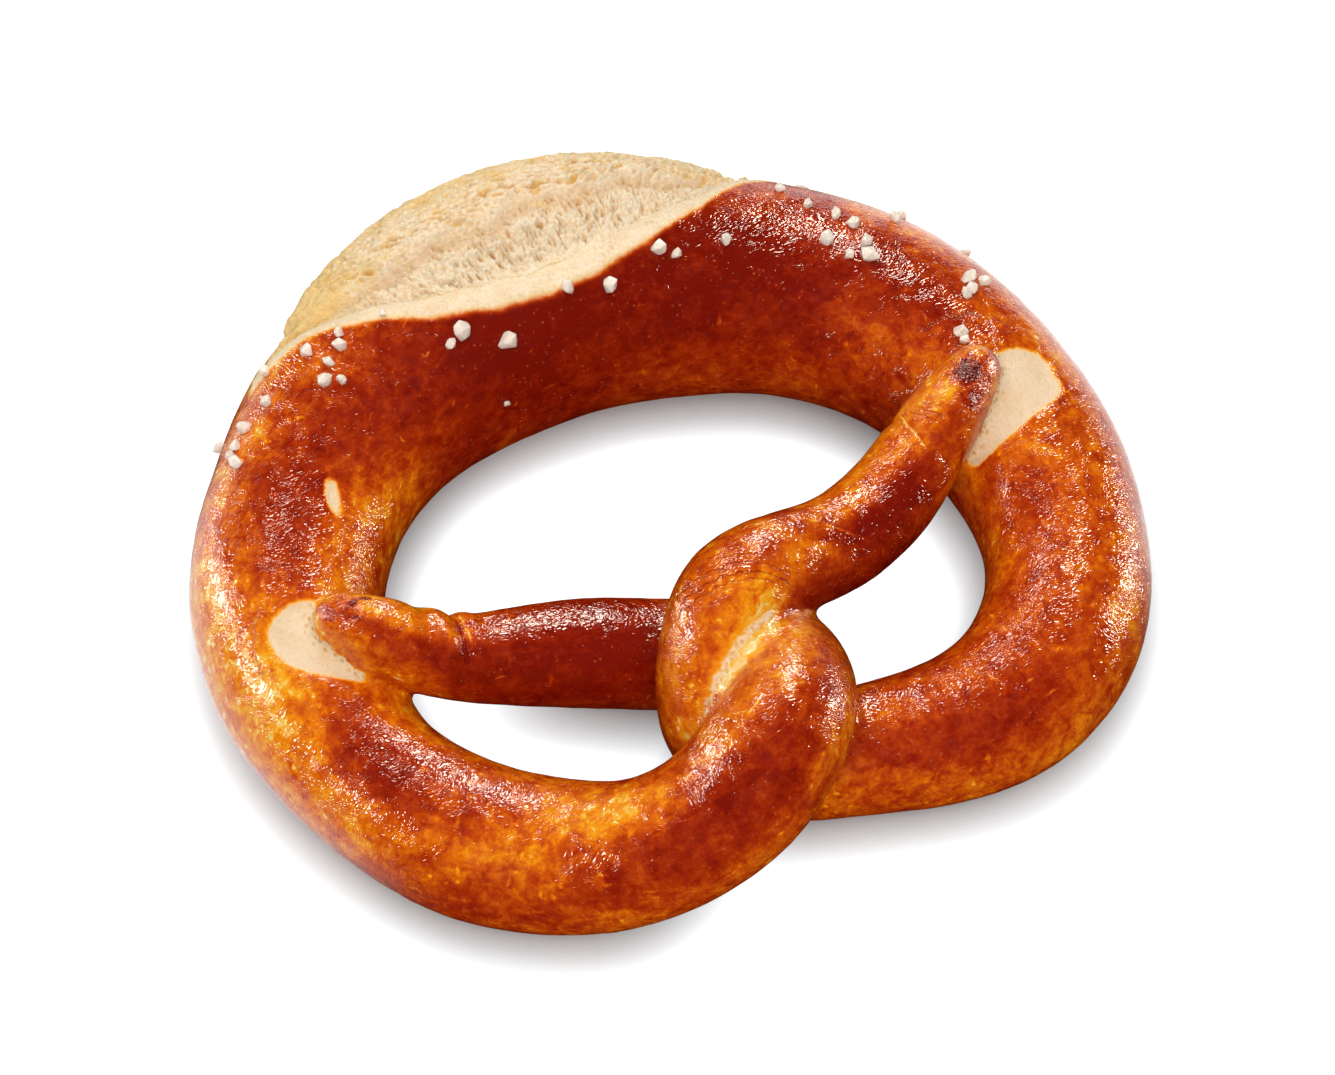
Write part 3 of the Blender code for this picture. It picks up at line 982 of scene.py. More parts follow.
@dataclass
class TornCrumb:
    """The crumb that burst out of the belly: fibres, ledges and pores, as a closed body.

    A wall of pulled strings rises from the near lip's smooth band to the ledge, and a dome of
    webbed crumb with pores lies behind it. Up the wall, 0 is the lip and 1 is the ledge.
    """

    rope: DoughRope
    burst: Burst
    first: float = 238.0
    last: float = 317.0
    rows: int = 350
    columns: int = 270
    under_rows: int = 8
    under_depth: float = 5.0
    end_depth: float = 1.6
    depth_share: float = 0.3
    start_in: float = 2.0
    emerge: Pair = (2.7, 4.7)
    emerge_ragged: float = 1.1
    emerge_grain: float = 3.4
    ledge: tuple[Pair, ...] = (
        (238, 4.5), (246, 7), (254, 9.5), (264, 12.5), (280, 15.5), (294, 14), (305, 9.5),
        (312, 6), (317, 3.5),
    )
    ledge_ragged: float = 1.3
    ledge_grain: float = 7.0
    wall_foot: Pair = (0.25, 0.45)
    wall_head: Pair = (1.06, 0.94)
    dome_start: Pair = (0.96, 1.14)
    lean: float = 0.2
    ridge_fall: float = 2.1
    string_size: float = 0.56
    string_stretch: float = 0.28
    string_height: float = 0.7
    clump_size: float = 1.0
    clump_stretch: Pair = (0.35, 1.0)
    clump_height: float = 0.5
    web_size: float = 1.3
    web_stretch: Pair = (0.8, 1.15)
    web_height: float = 0.6
    pore_size: float = 1.7
    pore_stretch: Pair = (0.7, 1.2)
    pore_depth: float = 1.3
    fine_pore_size: float = 1.05
    fine_pore_stretch: Pair = (0.9, 1.1)
    fine_pore_depth: float = 0.6
    pore_edge: Pair = (0.42, 0.12)
    crest: Triple = (0.6, 1.14, 0.10)
    groove: Triple = (0.85, 0.93, 0.09)
    busy_grain: float = 7.0
    busier_along: Pair = (278.0, 296.0)
    swell_size: float = 4.5
    swell_stretch: Pair = (0.5, 1.0)
    swell_height: float = 0.40
    tail: float = 16.0
    hidden_depth: float = 1.0
    toasted_edge: Pair = (5.5, 3.5)
    toasted_left: Pair = (264.0, 244.0)
    toasted_right: Pair = (292.0, 310.0)
    toasted_far: Pair = (16.0, 34.0)

    def build(self) -> bpy.types.Object:
        """Makes the crumb as a piece of its own.

        Returns:
            The piece, with its painted shade and its toasting remembered at each point.
        """
        along = np.linspace(self.first, self.last, self.rows)
        mm_per_degree = math.radians(1) * self.rope.half_height_at(along)
        margin = self.start_in / mm_per_degree
        near = self.burst.lip_degrees(self.burst.near_lip, along) + margin
        far = self.burst.lip_degrees(self.burst.far_lip, along) - margin
        middle = 0.5 * (near + far)
        near = np.minimum(near, middle - 1.0)
        far = np.maximum(far, middle + 1.0)
        across = np.linspace(0, 1, self.columns)[None]
        round_deg = near[:, None] + (far - near)[:, None] * across
        along_grid = np.repeat(along[:, None], self.columns, axis=1)
        point, facing = self.rope.places(along_grid, round_deg)
        flat_along, flat_round = along_grid.ravel(), round_deg.ravel()
        from_near, from_far = self.burst.distances(self.rope, flat_along, flat_round)
        height, hollow, toast = self.relief(point.reshape(-1, 3), flat_along, from_near, from_far)
        top = point + facing * height.reshape(self.rows, self.columns, 1)
        back = np.linspace(1, 0, self.under_rows + 2)[1:-1][None]
        under_round = near[:, None] + (far - near)[:, None] * back
        under_along = np.repeat(along[:, None], self.under_rows, axis=1)
        below, below_facing = self.rope.places(under_along, under_round)
        width = (far - near) * mm_per_degree
        depth = np.minimum(self.under_depth, self.end_depth + self.depth_share * width)
        under = below - below_facing * depth[:, None, None]
        around = self.columns + self.under_rows
        rings = np.concatenate((top, under), axis=1)
        ends = rings[[0, -1]].mean(axis=1)
        points = np.concatenate((rings.reshape(-1, 3), ends))
        mesh = mesh_of("torn_crumb", points, tube_faces(self.rows, around))
        remember(mesh, Mark.PAINTED_SHADE, self.spread(hollow, around))
        remember(mesh, Mark.TOAST, self.spread(toast, around))
        mesh.shade_smooth()
        piece = bpy.data.objects.new("torn_crumb", mesh)
        bpy.context.scene.collection.objects.link(piece)
        return piece

    def dress(self, piece: bpy.types.Object) -> None:
        """Gives the crumb its finish and its place in the frame."""
        settle(piece, CrumbFinish().material())

    def spread(self, top_values: Array, around: int) -> Array:
        """Values of all points from those of the top, with 0 on the hidden rest.

        Args:
            top_values: one value for each point of the top.
            around: how many points each ring of the closed body has.

        Returns:
            One value for each point of the body.
        """
        grid = np.zeros((self.rows, around))
        grid[:, : self.columns] = top_values.reshape(self.rows, self.columns)
        return np.concatenate((grid.ravel(), np.zeros(2)))

    def relief(
        self, points: Array, along: Array, from_near: Array, from_far: Array
    ) -> tuple[Array, Array, Array]:
        """The crumb's height over the full rope, with fibres, a ledge and pores.

        Args:
            points: places on the full rope's skin in mm.
            along: mm along the rope of each.
            from_near: mm in from the near lip of each.
            from_far: mm in from the far lip of each.

        Returns:
            For each point its height in mm, how much painted shade darkens it in its pores, between
            its strings and webs and under the ledge, and how toasted it is.
        """
        inner = np.minimum(from_near, from_far)
        ragged = self.emerge_ragged * uneven(points, self.emerge_grain, 2, 11.0)
        shown = smooth_step(*self.emerge, inner + ragged)
        knots, reach = np.array(self.ledge, float).T
        edge = np.interp(along, knots, reach)
        edge += self.ledge_ragged * uneven(points, self.ledge_grain, 2, 4.0)
        up = from_near / np.maximum(edge, 1.0)
        wall = smooth_step(*self.wall_foot, up) * smooth_step(*self.wall_head, up)
        dome = smooth_step(*self.dome_start, up)
        flat = np.zeros(len(along))
        leaning = along + self.lean * from_near
        lean = np.stack((leaning, self.string_stretch * from_near, flat), axis=1)
        flow = np.stack((along, from_near, flat), axis=1)
        strings = self.ridges(lean, self.string_size, 31.0)
        clumps = uneven(stretch(lean, *self.clump_stretch), self.clump_size, 2, 71.0)
        web = self.ridges(stretch(flow, *self.web_stretch), self.web_size, 81.0)
        busy = uneven(points, self.busy_grain, 2, 61.0) + 0.2 * dome
        busy = smooth_step(-0.3, 0.4, busy + 0.5 * smooth_step(*self.busier_along, along) * dome)
        pores = self.pores(stretch(flow, *self.pore_stretch), self.pore_size, 0.0) * busy
        fine_flow = stretch(flow, *self.fine_pore_stretch)
        fine_pores = self.pores(fine_flow, self.fine_pore_size, 50.0)
        rough = wall * (self.string_height * (strings - 0.45) + self.clump_height * clumps)
        webbed = self.web_height * (web - 0.4) * (0.4 + 0.6 * busy)
        rough += dome * (webbed - self.pore_depth * pores)
        fewer = (0.35 + 0.65 * dome) * (1.0 - 0.6 * wall)
        rough -= self.fine_pore_depth * fine_pores * fewer
        crest_height, *crest_at = self.crest
        groove_depth, *groove_at = self.groove
        rough += crest_height * hump(up, *crest_at) - groove_depth * hump(up, *groove_at)
        slow_flow = stretch(flow, *self.swell_stretch)
        rough += self.swell_height * uneven(slow_flow, self.swell_size, 2, 21.0)
        tail = smooth_step(0.0, self.tail, from_near + from_far)
        body = self.burst.crumb_height(from_near, from_far)
        height = body + rough * shown * tail - self.hidden_depth * (1.0 - shown)
        # Painted shade: the darker colour painted into pores, between the wall's strings, between the
        # web's crests and in a band under the ledge.
        deep = np.maximum(dome * np.maximum(pores, 0.8 * fine_pores), 0.9 * wall * (0.5 - strings))
        deep = np.maximum(deep, dome * busy * (0.5 - web))
        deep = np.maximum(deep, 0.45 * hump(up, 0.93, 0.10) * tail)
        toast = self.toasting(points, along, inner)
        toast += dome * (0.2 + 0.45 * smooth_step(*self.toasted_far, from_near))
        toast += dome * 0.3 * smooth_step(*self.toasted_right, along) + 0.6 * pores - 0.1 * wall
        return height, np.clip(deep, 0.0, 1.0), np.clip(toast, 0.0, 1.0)

    def ridges(self, points: Array, size: float, shift: float) -> Array:
        """Sharp crests, 1 on a crest and falling away from it."""
        return 1.0 - self.ridge_fall * np.abs(uneven(points, size, 2, shift))

    def toasting(self, points: Array, along: Array, inner: Array) -> Array:
        """How toasted the crumb is in large: most at its edge and at its left end.

        Args:
            points: places on the full rope's skin in mm.
            along: mm along the rope of each.
            inner: mm in from the nearer lip of each.

        Returns:
            One value for each point.
        """
        toast = 0.2 + 0.25 * uneven(points, 5.0, 2, 91.0)
        toast += 0.4 * smooth_step(*self.toasted_edge, inner)
        return toast + 0.9 * smooth_step(*self.toasted_left, along)

    def pores(self, points: Array, size: float, shift: float) -> Array:
        """Round holes, one in most cells of a scattered pattern.

        Args:
            points: places in mm.
            size: mm from one hole to the next.
            shift: moves the pattern, so that two uses differ.

        Returns:
            1 in the middle of a hole and 0 off it, for each point.
        """
        rows = (points / size + shift).tolist()
        near = np.array([noise.voronoi(row)[0][0] for row in rows])
        return smooth_step(*self.pore_edge, near)


@dataclass
class CoarseSalt:
    """Worn crystals of coarse salt, each a third sunk in the crust."""

    rope: DoughRope
    grains: tuple[Triple, ...] = (
        (224.0, 40, 2.8), (225.5, 48, 1.8), (227.5, 46, 2.4), (230.0, 44, 2.9),
        (235.0, 34, 2.1), (240.0, 46, 2.5), (241.0, 6, 3.0), (241.8, -2, 2.1),
        (243.4, 9, 2.6), (243.2, 24, 2.5), (246.2, 9, 2.7), (248.0, 13, 2.2),
        (253.6, 1, 1.7), (259.0, -31, 2.3), (262.5, -30, 3.6), (267.8, -45, 3.9),
        (262.2, -71, 1.3), (281.8, -34, 2.5), (288.6, -36, 2.8), (298.2, -20, 2.9),
        (300.4, -22, 2.2), (310.8, -12, 2.2), (319.0, 33, 2.2), (323.8, 22, 2.1),
        (328.4, 21, 2.4), (331.6, 18, 2.6), (328.8, 1, 2.8), (332.2, -4, 2.2),
        (334.9, 8, 2.6), (335.4, 0, 3.4), (336.4, 40, 2.6), (348.6, 26, 2.9),
        (350.2, 20, 2.4), (350.6, 15, 2.2), (351.4, 34, 2.5), (354.6, -6, 2.7),
        (357.3, -8, 2.3), (336.0, 62, 2.4), (344.0, 70, 2.2), (262.0, 116, 2.5),
        (288.0, 118, 2.3), (246.0, 100, 2.4), (322.0, 76, 2.6), (228.0, 74, 2.3),
    )
    corners: int = 15
    corner_drift: float = 0.25
    corner_reach: Pair = (0.78, 1.1)
    breadth: Pair = (0.7, 0.95)
    thickness: Pair = (0.75, 0.95)
    proud: float = 0.22
    worn: float = 0.045
    drop: float = 6.0
    seed: int = 7

    def crystal(self, size: float, chance: np.random.Generator) -> bmesh.types.BMesh:
        """One grain as the hull of a few evenly spread corners, its edges worn round.

        Args:
            size: mm across.
            chance: the seeded draw.

        Returns:
            The grain about the origin, in metres.
        """
        step = np.arange(self.corners) + 0.5
        height = 1 - 2 * step / self.corners
        turn = math.pi * (3 - math.sqrt(5)) * step + chance.uniform(0, 2 * math.pi)
        radius = np.sqrt(1 - height**2)
        spread = np.stack((radius * np.cos(turn), radius * np.sin(turn), height), axis=1)
        spread = unit(spread + chance.normal(0, self.corner_drift, spread.shape))
        spread /= np.abs(spread).max(axis=1)[:, None] ** 0.5
        spread *= chance.uniform(*self.corner_reach, (self.corners, 1))
        breadth, thickness = chance.uniform(*self.breadth), chance.uniform(*self.thickness)
        spread *= size / 2 * np.array((1.0, breadth, thickness))
        bm = bmesh.new()
        for corner in spread:
            bm.verts.new(corner * MM)
        made = bmesh.ops.convex_hull(bm, input=bm.verts)
        spare = [v for v in made["geom_interior"] if isinstance(v, bmesh.types.BMVert)]
        bmesh.ops.delete(bm, geom=spare, context="VERTS")
        bmesh.ops.recalc_face_normals(bm, faces=bm.faces)
        bmesh.ops.bevel(
            bm,
            geom=list(bm.edges),
            offset=self.worn * size * MM,
            segments=2,
            profile=0.6,
            affect="EDGES",
            clamp_overlap=True,
        )
        return bm

    def build(self, skin: bpy.types.Object, crumb: bpy.types.Object) -> bpy.types.Object:
        """Strews the grains on the skin and joins them as one piece.

        Args:
            skin: the crust that the grains sit on.
            crumb: the crumb that some of them sit on.

        Returns:
            The piece of all grains.
        """
        chance = np.random.default_rng(self.seed)
        trees = [self.tree_of(skin), self.tree_of(crumb)]
        whole = bmesh.new()
        tint = whole.verts.layers.float.new(Mark.TINT.value)
        for along, round_deg, size in sorted(self.grains, key=lambda grain: -grain[2]):
            point, facing = self.rope.place(along, round_deg)
            middle = self.rest_on(trees, point, facing) + Vector(facing) * self.proud * size * MM
            spin = chance.uniform(0, 2 * math.pi)
            grain = self.crystal(size, chance)
            stand = Vector(facing).to_track_quat("Z", "Y").to_matrix().to_4x4()
            placed = Matrix.Translation(middle) @ stand @ Matrix.Rotation(spin, 4, "Z")
            bmesh.ops.transform(grain, matrix=placed, verts=grain.verts)
            shade = (along * 7.3 + round_deg * 3.1) % 1.0
            copies = {}
            for vert in grain.verts:
                copy = whole.verts.new(vert.co)
                copy[tint] = shade
                copies[vert] = copy
            for face in grain.faces:
                whole.faces.new([copies[vert] for vert in face.verts])
            grain.free()
        mesh = bpy.data.meshes.new("coarse_salt")
        whole.to_mesh(mesh)
        whole.free()
        mesh.shade_smooth()
        piece = bpy.data.objects.new("coarse_salt", mesh)
        bpy.context.scene.collection.objects.link(piece)
        return piece

    def dress(self, piece: bpy.types.Object) -> None:
        """Gives the salt its finish and its place in the frame."""
        settle(piece, SaltFinish().material())

    def tree_of(self, piece: bpy.types.Object) -> BVHTree:
        """The piece's faces, ready to be hit by a ray.

        Args:
            piece: the piece.

        Returns:
            The tree of its faces.
        """
        mesh = piece.data
        faces = [tuple(face.vertices) for face in mesh.polygons]
        return BVHTree.FromPolygons([vert.co.copy() for vert in mesh.vertices], faces)

    def rest_on(self, trees: Sequence[BVHTree], point: Array, facing: Array) -> Vector:
        """Where a grain that comes straight down on the skin meets it.

        Args:
            trees: what it may meet.
            point: the place on the full rope's skin, in mm.
            facing: the direction that the skin faces there.

        Returns:
            The first point that it meets, in metres.
        """
        start = Vector((point + self.drop * facing) * MM)
        hits = [tree.ray_cast(start, -Vector(facing))[0] for tree in trees]
        found = [hit for hit in hits if hit is not None]
        if not found:
            return Vector(point * MM)
        return min(found, key=lambda hit: (hit - start).length)


class Bench:
    """Lays out and links the nodes of one tree."""

    def __init__(self, tree: bpy.types.NodeTree) -> None:
        """Starts work on a tree."""
        self.tree = tree

    def node(self, kind: str, **settings: object) -> bpy.types.Node:
        """Adds a node.

        Args:
            kind: the node's type.
            settings: its properties and their values.

        Returns:
            The node.
        """
        made = self.tree.nodes.new(kind)
        for name, value in settings.items():
            setattr(made, name, value)
        return made

    def feed(self, socket: Socket, value: Fed) -> None:
        """Links a socket to another, or sets it to a value.

        Args:
            socket: the input that is fed.
            value: a socket, a number, a vector or a colour.
        """
        if isinstance(value, Socket):
            self.tree.links.new(value, socket)
        else:
            socket.default_value = value

    def math(self, operation: str, *values: Fed, clamp: bool = False) -> Socket:
        """A sum of numbers or sockets.

        Args:
            operation: the kind of sum.
            values: what goes in, in order.
            clamp: keeps the result from 0 to 1.

        Returns:
            The result.
        """
        made = self.node("ShaderNodeMath", operation=operation, use_clamp=clamp)
        for socket, value in zip(made.inputs, values):
            self.feed(socket, value)
        return made.outputs[0]

    def vector_math(self, operation: str, *values: Fed) -> Socket:
        """A sum of vectors or sockets.

        Args:
            operation: the kind of sum.
            values: what goes in, in order.

        Returns:
            The resulting vector.
        """
        made = self.node("ShaderNodeVectorMath", operation=operation)
        for socket, value in zip(made.inputs, values):
            self.feed(socket, value)
        return made.outputs[0]

    def between(
        self, value: Fed, low: float, high: float, to_low: float = 0.0, to_high: float = 1.0
    ) -> Socket:
        """Maps a range of values onto another along a smooth s-curve.

        Args:
            value: what is mapped.
            low: the value that gives to_low.
            high: the value that gives to_high; it may be under low.
            to_low: result at low.
            to_high: result at high.

        Returns:
            The mapped value.
        """
        if low > high:
            low, high, to_low, to_high = high, low, to_high, to_low
        made = self.node("ShaderNodeMapRange", interpolation_type="SMOOTHSTEP", clamp=True)
        for name, number in (
            ("Value", value),
            ("From Min", low),
            ("From Max", high),
            ("To Min", to_low),
            ("To Max", to_high),
        ):
            self.feed(made.inputs[name], number)
        return made.outputs[0]

    def between_each(self, vector: Fed, low: Sequence[float], high: Sequence[float]) -> Socket:
        """Maps each of three values onto 0 to 1 along a smooth s-curve.

        Args:
            vector: the three values.
            low: the values that give 0.
            high: the values that give 1.

        Returns:
            The three mapped values as a vector.
        """
        made = self.node(
            "ShaderNodeMapRange", data_type="FLOAT_VECTOR", interpolation_type="SMOOTHSTEP", clamp=True
        )
        sockets = {socket.identifier: socket for socket in made.inputs}
        self.feed(sockets["Vector"], vector)
        self.feed(sockets["From_Min_FLOAT3"], low)
        self.feed(sockets["From_Max_FLOAT3"], high)
        return made.outputs["Vector"]

    def weighed(self, vector: Fed, weights: Sequence[float]) -> Socket:
        """The sum of three values, each times its weight.

        Args:
            vector: the three values.
            weights: the three weights.

        Returns:
            The sum.
        """
        made = self.node("ShaderNodeVectorMath", operation="DOT_PRODUCT")
        self.feed(made.inputs[0], vector)
        self.feed(made.inputs[1], weights)
        return made.outputs["Value"]

    def mix(self, share: Fed, first: Fed, second: Fed) -> Socket:
        """Mixes two colours.

        Args:
            share: how much of the second is used.
            first: the first colour.
            second: the second colour.

        Returns:
            The mixed colour.
        """
        made = self.node("ShaderNodeMix", data_type="RGBA")
        self.feed(made.inputs[0], share)
        self.feed(made.inputs[6], first)
        self.feed(made.inputs[7], second)
        return made.outputs[2]

    def blend(self, share: Fed, first: Fed, second: Fed) -> Socket:
        """Mixes two numbers.

        Args:
            share: how much of the second is used.
            first: the first number.
            second: the second number.

        Returns:
            The mixed number.
        """
        made = self.node("ShaderNodeMix", data_type="FLOAT")
        self.feed(made.inputs[0], share)
        self.feed(made.inputs[2], first)
        self.feed(made.inputs[3], second)
        return made.outputs[0]

    def ramp(self, value: Fed, stops: Sequence[tuple[float, Triple]]) -> Socket:
        """A run of colours.

        Args:
            value: where on the run.
            stops: places from 0 to 1 and their colours.

        Returns:
            The colour.
        """
        made = self.node("ShaderNodeValToRGB")
        run = made.color_ramp
        while len(run.elements) > 1:
            run.elements.remove(run.elements[-1])
        run.elements[0].position = stops[0][0]
        run.elements[0].color = (*stops[0][1], 1.0)
        for place, colour in stops[1:]:
            run.elements.new(place).color = (*colour, 1.0)
        self.feed(made.inputs[0], value)
        return made.outputs[0]

    def grain(
        self,
        vector: Fed,
        size: float,
        detail: float = 2.0,
        roughness: float = 0.5,
        distortion: float = 0.0,
    ) -> Socket:
        """Noise with humps of a size in mm.

        Args:
            vector: places in mm.
            size: mm from hump to hump.
            detail: how many finer layers it has.
            roughness: how strong the finer layers are.
            distortion: how much it swirls.

        Returns:
            A value about 0.5.
        """
        made = self.node("ShaderNodeTexNoise")
        self.feed(made.inputs["Vector"], vector)
        made.inputs["Scale"].default_value = 1.0 / size
        made.inputs["Detail"].default_value = detail
        made.inputs["Roughness"].default_value = roughness
        made.inputs["Distortion"].default_value = distortion
        return made.outputs[0]

    def drift(self, vector: Fed, size: float, reach: float) -> Socket:
        """How far each place is pushed aside, so that a pattern that is read there bends.

        Args:
            vector: places in mm.
            size: mm from one bend to the next.
            reach: mm that a place is pushed at most.

        Returns:
            A vector to add to a place.
        """
        made = self.node("ShaderNodeTexNoise")
        self.feed(made.inputs["Vector"], vector)
        made.inputs["Scale"].default_value = 1.0 / size
        return self.scaled(made.outputs["Color"], reach)

    def cells(self, vector: Fed, size: float) -> tuple[Socket, Socket]:
        """Scattered cells of a size in mm.

        Args:
            vector: places in mm.
            size: mm from one cell to the next.

        Returns:
            How far off its cell's middle a place is, as a share of the size, and a vector of
            three numbers from 0 to 1 that differ from cell to cell.
        """
        made = self.node("ShaderNodeTexVoronoi")
        self.feed(made.inputs["Vector"], vector)
        made.inputs["Scale"].default_value = 1.0 / size
        return made.outputs["Distance"], made.outputs["Color"]

    def parts(self, vector: Fed) -> dict[str, Socket]:
        """The three numbers of a vector.

        Args:
            vector: the vector.

        Returns:
            Its numbers by the names X, Y and Z.
        """
        made = self.node("ShaderNodeSeparateXYZ")
        self.feed(made.inputs[0], vector)
        return {socket.name: socket for socket in made.outputs}

    def kept(self, mark: Mark, output: str = "Fac") -> Socket:
        """What the mesh's points remember."""
        return self.node("ShaderNodeAttribute", attribute_name=mark.value).outputs[output]

    def places(self) -> Socket:
        """The point's own place in mm."""
        return self.scaled(self.node("ShaderNodeTexCoord").outputs["Object"], 1 / MM)

    def scaled(self, vector: Fed, factor: float) -> Socket:
        """A vector times a number.

        Args:
            vector: the vector.
            factor: the number.

        Returns:
            The longer or shorter vector.
        """
        made = self.node("ShaderNodeVectorMath", operation="SCALE")
        self.feed(made.inputs[0], vector)
        made.inputs["Scale"].default_value = factor
        return made.outputs[0]

    def stretched(self, vector: Fed, factors: Triple) -> Socket:
        """A vector with each part times its own number."""
        return self.vector_math("MULTIPLY", vector, factors)

    def bump(self, height: Fed, reach_mm: float) -> Socket:
        """A surface direction tilted by a height.

        Args:
            height: the height from 0 to 1.
            reach_mm: how many mm 1 stands for.

        Returns:
            The direction for a shader.
        """
        made = self.node("ShaderNodeBump")
        made.inputs["Strength"].default_value = 1.0
        made.inputs["Distance"].default_value = reach_mm * MM
        self.feed(made.inputs["Height"], height)
        return made.outputs["Normal"]


def new_group(name: str, ins: dict[str, str], outs: dict[str, str]) -> bpy.types.NodeTree:
    """An empty shader node group with named sockets.

    Args:
        name: the group's name.
        ins: each input's name and socket type.
        outs: each output's name and socket type.

    Returns:
        The group, with its input and output nodes placed.
    """
    tree = bpy.data.node_groups.new(name, "ShaderNodeTree")
    for label, kind in ins.items():
        tree.interface.new_socket(label, in_out="INPUT", socket_type=kind)
    for label, kind in outs.items():
        tree.interface.new_socket(label, in_out="OUTPUT", socket_type=kind)
    tree.nodes.new("NodeGroupInput").name = "in"
    tree.nodes.new("NodeGroupOutput").name = "out"
    return tree


@dataclass(frozen=True)
class BareDough:
    """Unbrowned baked dough, shared by the crust's torn places and the crumb."""

    pale: Triple = (0.95, 0.81, 0.60)
    shaded: Triple = (0.85, 0.61, 0.36)
    # The colour of painted shade in pores, gaps and recesses.
    deep: Triple = (0.69, 0.37, 0.12)
    toasted: Triple = (0.90, 0.60, 0.18)
    whitest: Triple = (0.98, 0.90, 0.77)
    speck: Triple = (0.40, 0.25, 0.12)

    def group(self) -> bpy.types.NodeTree:
        """Builds the shared node group once.

        Returns:
            A group from a place in mm, a grain, a painted shade and a toast to a colour and a height.
        """
        name = "bare_dough"
        if name in bpy.data.node_groups:
            return bpy.data.node_groups[name]
        ins = {
            "Place": "NodeSocketVector",
            "Grain": "NodeSocketFloat",
            "Hollow": "NodeSocketFloat",
            "Toast": "NodeSocketFloat",
        }
        outs = {"Colour": "NodeSocketColor", "Height": "NodeSocketFloat"}
        tree = new_group(name, ins, outs)
        bench = Bench(tree)
        got = tree.nodes["in"].outputs
        cloud = bench.grain(got["Place"], 4.0, 3.0, 0.6)
        fine = bench.grain(got["Place"], 0.55, 3.0, 0.65)
        clouded = bench.between(cloud, 0.42, 0.72, 0.0, 0.55)
        base = bench.mix(clouded, (*self.pale, 1), (*self.shaded, 1))
        grainy = bench.math("MULTIPLY", bench.between(fine, 0.44, 0.72), got["Grain"])
        base = bench.mix(grainy, base, (*self.shaded, 1))
        crisp = bench.math("MULTIPLY", bench.between(fine, 0.50, 0.36), got["Grain"])
        base = bench.mix(crisp, base, (*self.whitest, 1))
        # Painted shade: the deep colour where the mesh marks a pore, gap or recess.
        base = bench.mix(got["Hollow"], base, (*self.deep, 1))
        warm = bench.math("MULTIPLY_ADD", bench.math("SUBTRACT", fine, 0.5), 0.9, got["Toast"])
        base = bench.mix(bench.between(warm, 0.25, 1.0, 0.0, 0.8), base, (*self.toasted, 1))
        off, _ = bench.cells(got["Place"], 1.9)
        dot = bench.between(off, 0.2, 0.1)
        base = bench.mix(bench.math("MULTIPLY", dot, 0.18), base, (*self.speck, 1))
        bench.feed(tree.nodes["out"].inputs["Colour"], base)
        bench.feed(tree.nodes["out"].inputs["Height"], fine)
        return tree


def place_group(
    bench: Bench, tree: bpy.types.NodeTree, values: dict[str, Fed]
) -> dict[str, Socket]:
    """Puts a group into a material.

    Args:
        bench: the material's bench.
        tree: the group.
        values: each input's name and what feeds it.

    Returns:
        The group's outputs by name.
    """
    made = bench.node("ShaderNodeGroup", node_tree=tree)
    for name, value in values.items():
        bench.feed(made.inputs[name], value)
    return {socket.name: socket for socket in made.outputs}


def new_material(name: str) -> tuple[bpy.types.Material, Bench, bpy.types.Node]:
    """A material with its bench and its surface node.

    Args:
        name: the material's name.

    Returns:
        The material, its bench and its Principled node.
    """
    material = bpy.data.materials.new(name)
    material.use_nodes = True
    tree = material.node_tree
    return material, Bench(tree), tree.nodes["Principled BSDF"]


def let_light_in(
    surface: bpy.types.Node, weight: float, radius: Triple, reach_mm: float
) -> None:
    """Lets light pass a little way under the surface.

    Args:
        surface: the material's Principled node.
        weight: how much of the light does.
        radius: how far red, green and blue get, as shares of the reach.
        reach_mm: how far that is in mm.
    """
    surface.inputs["Subsurface Weight"].default_value = weight
    surface.inputs["Subsurface Radius"].default_value = radius
    surface.inputs["Subsurface Scale"].default_value = reach_mm * MM


@dataclass(frozen=True)
class FineCrease:
    """A fine line in the crust, slanting round the rope: how much painted shade darkens it, a lighter
    edge below zero, and how deep it is.
    """

    name: str
    along: float
    slope: float
    half_width: float
    round_mm: Pair
    crease_shade: float
    depth: float


